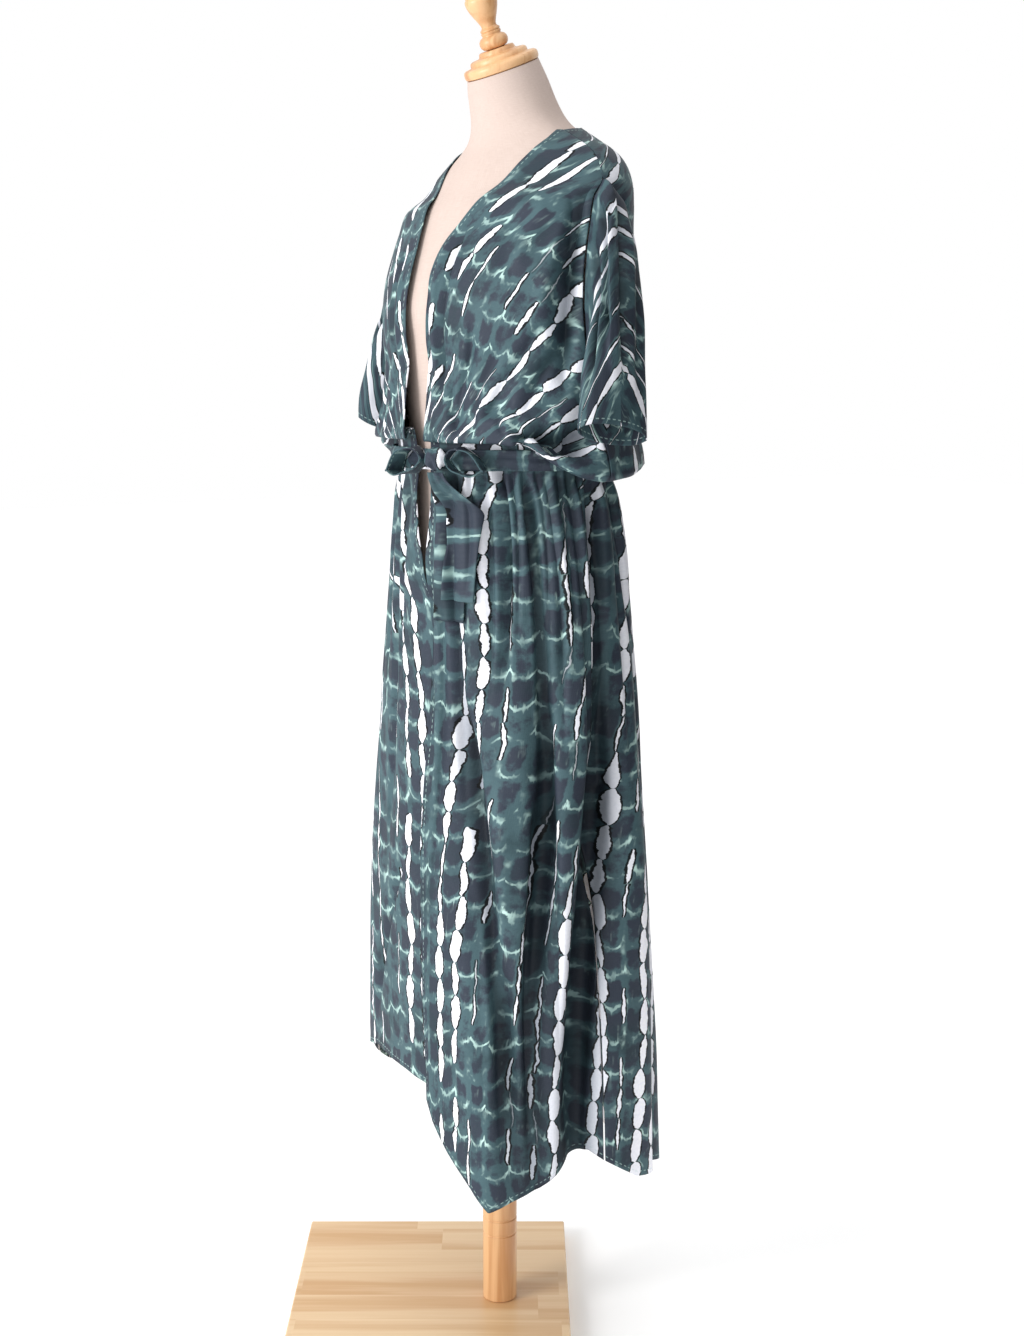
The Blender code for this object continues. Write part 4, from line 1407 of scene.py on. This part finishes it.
def arc_length(points: np.ndarray, angles: np.ndarray) -> np.ndarray:
    """Measure how far each place lies along its row, from the centre front.

    Args:
        points: Places by row and column.
        angles: Where round the coat each lies.

    Returns:
        The lengths.
    """
    along = row_lengths(points)
    radius = along[:, -1] / np.maximum(np.radians(np.abs(angles[:, -1] - angles[:, 0])), 0.2)
    return along + (np.radians(angles[:, 0]) * radius)[:, None]


def crumple(angles: np.ndarray, z: np.ndarray) -> np.ndarray:
    """Give the small unevenness of hanging cloth, between about -1 and 1.

    Args:
        angles: Where round the coat.
        z: The heights.

    Returns:
        The unevenness.
    """
    a = np.radians(angles)
    made = np.sin(a * 7.0 + z * 9.0 + 1.2) + 0.7 * np.sin(a * 13.0 - z * 15.0 + 0.4)
    made += 0.5 * np.sin(a * 24.0 + z * 27.0 + 2.1) + 0.3 * np.sin(a * 41.0 - z * 44.0)
    return made / 2.5


@dataclass
class FrontPanel(Panel):
    """A front panel, from its open edge to its side seam."""

    side: Side = Side.LEFT
    fan_radius: float = 0.36
    fan_across: float = 0.030
    fan_up: float = 0.511

    def spans(self) -> list[tuple[float, float]]:
        """Give the first and last angle of each row.

        Returns:
            The pairs of angles, from the neck down.
        """
        s = self.surface
        made = []
        for index in range(s.count()):
            if self.side is Side.LEFT:
                start = s.edge(index, s.edge_left)
            else:
                start = s.edge(index, [(z, -x) for z, x in s.edge_right])
            stop = s.side_angle - s.armhole_front_angle * s.armhole(index) - s.inset(index)
            made.append((self.side.value * start, self.side.value * stop))
        return made

    def lift(self, angle: float, index: int) -> float:
        """Stand the lapped edges clear of each other.

        Args:
            angle: Where round the coat.
            index: The row's number.

        Returns:
            The lift.
        """
        if index < self.surface.skirt_start() - 3:
            return 0.0
        return self.side.value * self.surface.overlap * smooth((50.0 - abs(angle)) / 25.0)

    def dye(self, arc: np.ndarray, points: np.ndarray, place: np.ndarray) -> np.ndarray:
        """Fan the dye's pleats out from the waist on the bodice, and hang them straight below.

        Args:
            arc: How far along its row each place lies.
            points: The places.
            place: The place among the rows.

        Returns:
            The dye's layer.
        """
        from_edge = np.abs(arc - arc[:, :1])
        across = from_edge + self.fan_across
        up = self.fan_up - column_lengths(points)
        bodice = soft_step((len(self.surface.shoulder_rows) + 14.5 - place) / 1.5)[:, None]
        fanned = paired(np.arctan2(across, up) * self.fan_radius, np.hypot(across, up))
        straight = paired(from_edge + 0.010, points[..., 2])
        return fanned * bodice[..., None] + straight * (1.0 - bodice[..., None])

    def hem(self, arc: np.ndarray, down: np.ndarray) -> np.ndarray:
        """Measure along and away from the lower hem or the open edge, whichever is nearer.

        Args:
            arc: How far along its row each place lies.
            down: How far down its column.

        Returns:
            The hem's layer.
        """
        below = down[-1:] - down
        from_edge = np.abs(arc - arc[:, :1])
        return paired(np.where(below < from_edge, arc, down), np.minimum(below, from_edge))


@dataclass
class BackPanel(Panel):
    """The back panel, from one side seam round to the other."""

    def spans(self) -> list[tuple[float, float]]:
        """Give the first and last angle of each row.

        Returns:
            The pairs of angles, from the neck down.
        """
        s = self.surface
        made = []
        for index in range(s.count()):
            start = s.side_angle + s.armhole_back_angle * s.armhole(index) + s.inset(index)
            made.append((start, 360.0 - start))
        return made


@dataclass
class Sleeve:
    """A short wide sleeve that hangs from the armhole."""

    surface: CoatSurface
    rim_gap: float = 0.0012
    cuff: Vector = field(default_factory=lambda: Vector((0.250, -0.012, 1.151)))
    cuff_half_thickness: float = 0.015
    cuff_half_width: float = 0.045
    cuff_rise: float = 0.010
    cuff_slant: float = 0.008
    shoulder_reach: float = 0.046
    shoulder_rise: float = 0.008
    underarm_reach: float = 0.040
    drop_lead: float = 0.130
    underarm_lead: float = 0.030
    columns: int = 168
    rows: int = 120
    wall: float = 0.0012
    ripple: float = 0.0007
    most_out: float = 0.004
    # How deep a crease must be for its full painted shade.
    painted_shade_depth: float = 0.009
    creases: tuple[tuple[float, float, float, float, float, float], ...] = (
        (0.215, 0.02, 0.18, 0.99, 0.011, 0.03), (0.055, 0.04, 0.03, 0.97, -0.006, 0.022),
        (0.11, 0.1, 0.1, 0.8, 0.008, 0.03), (0.0, 0.2, 0.09, 0.42, 0.005, 0.016),
        (0.96, 0.28, 0.05, 0.5, 0.0045, 0.016), (0.985, 0.1, 0.97, 0.9, 0.008, 0.028),
        (0.9, 0.15, 0.88, 0.95, 0.007, 0.03), (0.79, 0.02, 0.8, 0.99, 0.009, 0.03),
        (0.14, 0.55, 0.06, 0.74, 0.0035, 0.014), (0.42, 0.1, 0.43, 0.9, 0.005, 0.04),
        (0.6, 0.1, 0.59, 0.9, 0.005, 0.04),
    )

    def roots(self) -> list[Vector]:
        """Find the sleeve's root points, just inside the armhole: top, front, bottom, back.

        Returns:
            The points, in order.
        """
        s = self.surface
        cut = [index for index in range(s.skirt_start()) if s.armhole(index) > 0.0]
        inset = math.degrees(self.rim_gap / s.body_rows[0].side)
        top = s.point(s.side_angle, cut[0] - 1) - Vector((0.0, 0.0, self.rim_gap))
        low = s.point(s.side_angle, cut[-1] + 1) + Vector((0.0, 0.0, self.rim_gap))
        front = []
        back = []
        for index in cut:
            deep = s.armhole(index)
            front.append(s.point(s.side_angle - s.armhole_front_angle * deep + inset, index))
            back.append(s.point(s.side_angle + s.armhole_back_angle * deep - inset, index))
        return [top, *front, low, *reversed(back)]

    def cuff_point(self, share: float) -> Vector:
        """Find a point of the flattened cuff, share of the way round from its outer ridge.

        Args:
            share: How far round, from 0 to 1.

        Returns:
            The point.
        """
        turn = 2.0 * math.pi * share
        out = math.cos(turn)
        flat = math.copysign(abs(out) ** 0.75, out)
        along = -math.sin(turn)
        drop = self.cuff_rise * out - self.cuff_slant * along
        wide = self.cuff_half_width * along
        return self.cuff + Vector((self.cuff_half_thickness * flat, wide, drop))

    def rings(self) -> tuple[np.ndarray, np.ndarray]:
        """Work out the sleeve's places and its folds, by ring and column.

        Returns:
            The places, and how deep in a fold each lies, which sets its painted shade.
        """
        roots = self.roots()
        loop = np.array([*roots, roots[0]])
        at = np.linspace(0.0, 1.0, len(loop))
        wanted = np.linspace(0.0, 1.0, self.columns + 1)
        fine_roots = np.stack([np.interp(wanted, at, loop[:, k]) for k in range(3)], axis=1)
        lowest = loop[:, 2].min()
        highest = loop[:, 2].max()
        made = np.zeros((self.rows, self.columns + 1, 3))
        for column, share_round in enumerate(wanted):
            root = Vector(fine_roots[column])
            cuff = self.cuff_point(share_round)
            high = (root.z - lowest) / (highest - lowest)
            reach = self.underarm_reach + (self.shoulder_reach - self.underarm_reach) * high
            lead = self.underarm_lead + (self.drop_lead - self.underarm_lead) * high
            leaving = root + Vector((reach, 0.0, self.shoulder_rise * high))
            arriving = cuff + Vector((0.0, 0.0, lead))
            for row in range(self.rows):
                share = row / (self.rows - 1)
                rest = 1.0 - share
                point = root * rest**3 + leaving * (3 * rest**2 * share)
                point += arriving * (3 * rest * share**2) + cuff * share**3
                made[row, column] = point
        return self.creased(made, wanted)

    def creased(self, rings: np.ndarray, around: np.ndarray) -> tuple[np.ndarray, np.ndarray]:
        """Press the creases into the sleeve.

        Args:
            rings: The smooth sleeve, by ring and column.
            around: The share of the way round for each column.

        Returns:
            The creased sleeve, and how deep in a fold each place lies, which sets its painted
            shade.
        """
        middle = rings[:, :-1].mean(axis=1, keepdims=True)
        out = rings - middle
        out[..., 2] = 0.0
        size = np.linalg.norm(out, axis=2, keepdims=True)
        down = np.linspace(0.0, 1.0, len(rings))[:, None]
        moved = 0.0
        for start, top, stop, low, depth, width in self.creases:
            share = np.clip((down - top) / (low - top), 0.0, 1.0)
            turn = stop - start + (1.0 if stop - start < -0.5 else 0.0)
            off = (around[None, :] - start - turn * share + 0.5) % 1.0 - 0.5
            off = off + 0.008 * np.sin(share * 6.0 + start * 20.0)
            taper = soft_step(share * 6.0) * soft_step((1.0 - share) * 4.0)
            moved = moved - depth * np.exp(-((off / width) ** 2)) * taper
        turns = around[None, :] * 2.0 * math.pi
        ripple = np.sin(turns * 5.0 + down * 9.0) + np.sin(turns * 8.0 - down * 17.0)
        ripple = ripple + 0.6 * np.sin(turns * 13.0 + down * 23.0)
        moved = moved + self.ripple * ripple * soft_step(down * 3.0)
        rooted = soft_step(down * 8.0)
        kept = 0.12 + 0.88 * soft_step((1.0 - down) * 4.0)
        moved = np.minimum(moved, self.most_out) * rooted * kept
        # Painted shade: the deeper the crease, the darker its colour is painted.
        painted_fold_shade = np.clip(-moved / self.painted_shade_depth, 0.0, 1.0)
        return rings + out / np.maximum(size, 1e-6) * moved[..., None], painted_fold_shade

    def build(self, side: Side, finish: bpy.types.Material) -> bpy.types.Object:
        """Build one sleeve.

        Args:
            side: The wearer's side.
            finish: Its cloth.

        Returns:
            The piece.
        """
        points, painted_fold_shade = self.rings()
        points[..., 0] *= side.value
        down = column_lengths(points)
        around = row_lengths(points)
        layers = {
            "dye": paired(down + 0.020 * side.value, around * 0.8 + 0.4),
            "hem": paired(around, down[-1:] - down),
            "fold": paired(painted_fold_shade, 0.0),
        }
        bm = laid_grid(points, layers, closed=True)
        face = max(bm.faces, key=lambda f: abs(f.calc_center_median().x))
        faced(bm, face, face.calc_center_median() - Vector(points.mean(axis=(0, 1))))
        word = side.name.lower()
        piece = finished(f"hanging_sleeve_{word}", bm, finish, f"sleeve_{word}")
        walled(piece, self.wall, -1.0)
        return piece


# The belt


@dataclass
class Belt:
    """The narrow tie: its waist band, knot, bow loops and hanging ends."""

    surface: CoatSurface
    low: float = 1.107
    high: float = 1.131
    wall: float = 0.0018
    gap: float = 0.0010
    cloth_wall: float = 0.002
    knot_angle: float = 21.0
    knot_height: float = 1.120
    knot_size: Vector = field(default_factory=lambda: Vector((0.0150, 0.0110, 0.0150)))
    knot_gap: float = 0.0004
    bow_width: float = 0.024
    bow_gap: float = 0.0008
    bow_start: float = 6.1
    tail_top_width: float = 0.45
    sheet_wall: float = 0.0012
    pleat_middle: float = 0.0165

    def place(self, angle: float, z: float, grow: float) -> Vector:
        """Find a point round the waist, outside the gathered cloth.

        Args:
            angle: Where round the waist.
            z: The height.
            grow: How far out.

        Returns:
            The point.
        """
        s = self.surface
        row = s.body_rows[-1]
        point = oval(angle, row.side, row.front, row.back, s.centre_y, z)
        lift = s.overlap * smooth((55.0 - abs(turned(angle))) / 25.0)
        return point + outward(angle) * (self.cloth_wall + self.gap + lift + grow)

    def band(self, finish: bpy.types.Material) -> None:
        """Build the band, with the long folds of a pressed tie.

        Args:
            finish: Its cloth.
        """

        def at(share: float, along: float) -> tuple[Vector, tuple[float, float]]:
            """Find a place of the band.

            Args:
                share: The share down.
                along: The share along.

            Returns:
                The point and the dye's lengths.
            """
            z = self.high + (self.low - self.high) * share
            angle = 360.0 * along
            turn = math.radians(angle)
            fold = 0.0007 * math.sin(share * 13.0 + math.sin(turn * 3.0) * 2.0)
            fold += 0.0010 * math.sin(share * math.pi)
            fold += 0.0004 * math.sin(turn * 37.0 + share * 5.0)
            across = self.pleat_middle + (z - self.knot_height) * 0.8
            return self.place(angle, z, fold + 0.0006), (across, turn * 0.14)

        points, layer = swept(16, 240, at)
        bm = laid_grid(points, {"dye": layer}, closed=True)
        face = bm.faces[:][0]
        faced(bm, face, face.calc_center_median())
        piece = finished("waist_band", bm, finish, "belt")
        walled(piece, self.sheet_wall, 1.0)

    def knot(self, finish: bpy.types.Material) -> None:
        """Build the knot, with the turns of the tie drawn over it.

        Args:
            finish: Its cloth.
        """
        bm = bmesh.new()
        bmesh.ops.create_uvsphere(bm, u_segments=64, v_segments=40, radius=1.0)
        uv = bm.loops.layers.uv.new("dye")
        for vert in bm.verts:
            x, y, z = vert.co
            turn = math.atan2(z, x)
            groove = 0.07 * math.sin(turn * 3.0 + y * 5.0) + 0.05 * math.sin(x * 9.0 + z * 4.0)
            pinch = 0.14 * math.exp(-((x / 0.25) ** 2)) * (1.0 if z < 0 else 0.4)
            vert.co = vert.co * (0.93 + groove - pinch)
        for face in bm.faces:
            for loop in face.loops:
                loop[uv].uv = (loop.vert.co.x * 0.02 + 0.5, loop.vert.co.z * 0.02 + 0.3)
        bmesh.ops.scale(bm, verts=bm.verts, vec=self.knot_size)
        away = self.wall + self.knot_size.y + self.knot_gap
        turn = Matrix.Rotation(math.radians(self.knot_angle), 4, "Z")
        place = Matrix.Translation(self.place(self.knot_angle, self.knot_height, away))
        bmesh.ops.transform(bm, verts=bm.verts, matrix=place @ turn)
        finished("tied_knot", bm, finish, "belt_knot")

    def bow(
        self, name: str, node: str, reach: float, height: float, droop: float,
        finish: bpy.types.Material,
    ) -> None:
        """Build a bow loop.

        Args:
            name: The piece's name.
            node: The node that it replaces.
            reach: How far round the waist, in degrees.
            height: The loop's height.
            droop: How far its end hangs.
            finish: Its cloth.
        """
        start = self.knot_angle + math.copysign(self.bow_start, reach)

        def at(share: float, step: float) -> tuple[Vector, tuple[float, float]]:
            """Find a place of the loop.

            Args:
                share: The share down.
                step: The share along.

            Returns:
                The point and the dye's lengths.
            """
            turn = 2.0 * math.pi * step
            along = (1.0 - math.cos(turn)) / 2.0
            swell = math.sin(turn) * math.sin(math.pi * min(along * 0.90 + 0.10, 1.0)) ** 0.5
            swell *= 1.0 + 0.16 * math.sin(along * 7.0 + share * 2.0)
            z = self.knot_height + swell * height / 2 - droop * along * along
            pinch = 1.0 - 0.45 * (1.0 - along) ** 2
            away = self.wall + self.bow_gap + self.bow_width * (0.5 + (share - 0.5) * pinch)
            z += 0.0022 * (share - 0.5) * math.sin(turn * 2.0)
            place = self.place(start + reach * along, z, away)
            return place, (share * self.bow_width + 0.0045, turn * 0.018)

        points, layer = swept(20, 96, at)
        across = np.linspace(0.0, self.bow_width, len(points))
        edge = np.minimum(across, across[::-1])[:, None]
        layers = {"dye": layer, "hem": paired(row_lengths(points), edge + 0.0030)}
        bm = laid_grid(points, layers, closed=True)
        face = max(bm.faces, key=lambda f: f.calc_center_median().z)
        faced(bm, face, face.calc_center_median() - Vector(points.mean(axis=(0, 1))))
        piece = finished(name, bm, finish, node)
        walled(piece, self.sheet_wall, -1.0)

    def tail(
        self, name: str, node: str, left: float, right: float, end: float, away: float,
        root_away: float, finish: bpy.types.Material,
    ) -> None:
        """Build a hanging end of the tie.

        Args:
            name: The piece's name.
            node: The node that it replaces.
            left: The x of its left edge low down.
            right: The x of its right edge low down.
            end: The height of its end.
            away: How far it hangs from the skirt.
            root_away: How far out it leaves the knot.
            finish: Its cloth.
        """
        s = self.surface
        top = self.knot_height - self.knot_size.z - self.knot_gap
        root = self.place(self.knot_angle, top, 0.0).x

        def at(down: float, along: float) -> tuple[Vector, tuple[float, float]]:
            """Find a place of the tie's end.

            Args:
                down: The share down.
                along: The share along.

            Returns:
                The point and the dye's lengths.
            """
            z = top + (end - top) * down
            spread = smooth((top - z) / 0.05)
            middle = root + ((left + right) / 2 - root) * spread
            half = (right - left) / 2 * (self.tail_top_width + (1.0 - self.tail_top_width) * spread)
            share = 2.0 * along - 1.0
            sizes = s.skirt_sizes(z)
            angle = math.degrees(math.asin(max(min((middle + half * share) / sizes[0], 1.0), -1.0)))
            move = s.fold(angle, z) * smooth((s.skirt_top - z) / 0.01)
            relief = s.relief(np.float64(angle), np.float64(z), np.float64(s.count()))
            wave = 0.0016 * math.cos(share * 7.0) * (1.0 - spread * 0.6)
            hang = away * spread + root_away * (1.0 - spread) + float(relief) * spread * 0.8
            out = move + self.cloth_wall + s.overlap + hang + wave
            place = oval(angle, *sizes, s.centre_y, z) + outward(angle) * out
            return place, (share * 0.008 + self.pleat_middle, z + end)

        points, layer = swept(90, 32, at)
        bm = laid_grid(points, {"dye": layer})
        faced(bm, bm.faces[:][0], Vector((0.0, -1.0, 0.0)))
        piece = finished(name, bm, finish, node)
        walled(piece, self.sheet_wall, 1.0)

    def build(self, finish: bpy.types.Material) -> None:
        """Build the whole belt.

        Args:
            finish: Its cloth.
        """
        self.band(finish)
        self.knot(finish)
        self.bow("bow_left", "bow_loop_left", 17.0, 0.033, 0.012, finish)
        self.bow("bow_right", "bow_loop_right", -21.0, 0.033, 0.016, finish)
        for word, left, right, end, away, root_away in (
            ("front", 0.064, 0.106, 0.957, 0.0055, 0.0160),
            ("back", 0.052, 0.094, 0.932, 0.0020, 0.0126),
        ):
            self.tail(
                f"tie_end_{word}", f"belt_tail_{word}", left, right, end, away, root_away, finish
            )


@dataclass
class Coat:
    """The whole coat."""

    surface: CoatSurface

    def build(self, finish: bpy.types.Material) -> None:
        """Build the panels, sleeves and belt.

        Args:
            finish: Their cloth.
        """
        for side, width, area in ((Side.LEFT, 0.30, 0.31), (Side.RIGHT, 0.38, 0.39)):
            word = side.name.lower()
            panel = FrontPanel(self.surface, 130, 340, side=side)
            piece = panel.build(f"front_panel_{word}", f"front_{word}", finish)
        back = BackPanel(self.surface, 190, 240)
        piece = back.build("back_panel", "back", finish)
        sleeve = Sleeve(self.surface)
        sleeve.build(Side.LEFT, finish)
        sleeve.build(Side.RIGHT, finish)
        Belt(self.surface).build(finish)


# The studio


@dataclass
class Studio:
    """The floor, the soft light and the camera."""

    azimuth: float = 57.0
    distance: float = 2.22
    height: float = 1.221
    pitch: float = 9.32
    sideways: float = 0.0159
    lens: float = 48.9
    floor_reach: float = 14.0
    aim: float = 0.75

    def floor(self, finish: bpy.types.Material) -> None:
        """Lay the floor.

        Args:
            finish: Its finish.
        """
        bm = bmesh.new()
        bmesh.ops.create_grid(bm, x_segments=1, y_segments=1, size=self.floor_reach)
        meshed("studio_floor", bm, finish)

    def stand(self, azimuth: float, away: float, height: float) -> Vector:
        """Find the place at an azimuth, in degrees from the camera, to the right."""
        return outward(self.azimuth + azimuth) * away + Vector((0.0, 0.0, height))

    def camera(self) -> None:
        """Set the camera at the photograph's view."""
        turn = math.radians(self.azimuth)
        right = Vector((math.cos(turn), math.sin(turn), 0.0))
        data = bpy.data.cameras.new("camera")
        data.lens = self.lens
        data.sensor_fit = "VERTICAL"
        data.sensor_height = 36.0
        data.sensor_width = 36.0
        made = linked("camera", data)
        made.location = self.stand(0.0, self.distance, self.height) + right * self.sideways
        made.rotation_euler = (math.radians(90.0 - self.pitch), 0.0, turn)
        bpy.context.scene.camera = made

    def light(
        self, name: str, azimuth: float, height: float, away: float, size: float, power: float
    ) -> None:
        """Hang one soft light that faces the coat.

        Args:
            name: Its name.
            azimuth: Where it stands, in degrees from the camera, to the right.
            height: Its height.
            away: Its distance.
            size: Its width.
            power: Its power in watts.
        """
        data = bpy.data.lights.new(name, "AREA")
        data.shape = "SQUARE"
        data.size = size
        data.energy = power
        made = linked(name, data)
        made.location = self.stand(azimuth, away, height)
        aim = Vector((0.0, 0.0, self.aim)) - made.location
        made.rotation_euler = aim.to_track_quat("-Z", "Y").to_euler()

    def flag(self, azimuth: float, away: float, low: float, high: float, width: float) -> None:
        """Stand a black board beside the coat, out of view, so that one side falls into shade.

        Args:
            azimuth: Where it stands, in degrees from the camera, to the right.
            away: Its distance.
            low: The height of its lower edge.
            high: The height of its upper edge.
            width: Its width.
        """
        turn = math.radians(self.azimuth + azimuth)
        bm = bmesh.new()
        bmesh.ops.create_grid(bm, x_segments=1, y_segments=1, size=0.5)
        stood = Matrix.Rotation(turn, 4, "Z") @ Matrix.Rotation(math.radians(90.0), 4, "X")
        place = Matrix.Translation(self.stand(azimuth, away, (low + high) / 2))
        size = Matrix.Diagonal((width, high - low, 1.0, 1.0))
        bmesh.ops.transform(bm, verts=bm.verts, matrix=place @ stood @ size)
        black = Shader("black_board", Base_Color=(0.01, 0.01, 0.01), Roughness=0.9)
        made = meshed("black_board", bm, black.material)
        made.visible_camera = False

    def build(self, finish: bpy.types.Material) -> None:
        """Set up the whole studio.

        Args:
            finish: The floor's finish.
        """
        self.camera()
        self.floor(finish)
        self.flag(72.0, 0.80, 0.42, 1.9, 1.3)
        self.light("key", -58.0, 1.5, 2.6, 1.1, 46.0)
        self.light("fill", 40.0, 1.7, 3.0, 2.0, 3.0)
        self.light("top", 10.0, 3.4, 0.8, 2.0, 8.0)
        world = bpy.data.worlds.new("studio")
        world.use_nodes = True
        sky = world.node_tree.nodes["Background"]
        sky.inputs["Color"].default_value = (*WHITE, 1.0)
        sky.inputs["Strength"].default_value = 1.0
        bpy.context.scene.world = world
        bpy.context.scene.view_settings.view_transform = "Standard"


def main() -> None:
    """Build the studio, the stand, the form and the coat."""
    logging.basicConfig(level=logging.INFO, format="%(name)s %(message)s")
    Studio().build(StudioFloor().make())
    form = DressForm()
    turned_wood = PineWood("turned_wood").make()
    board_wood = PineWood(
        "board_wood", light=(0.82, 0.60, 0.36), dark=(0.62, 0.36, 0.16),
        stretch=(0.045, 1.0, 1.0), ring_scale=26.0, staves=0.062,
    ).make()
    form.build(FormLinen().make())
    Stand().build(form, turned_wood, board_wood)
    Coat(CoatSurface(form)).build(DyedCloth().make())


if __name__ == "__main__":
    main()
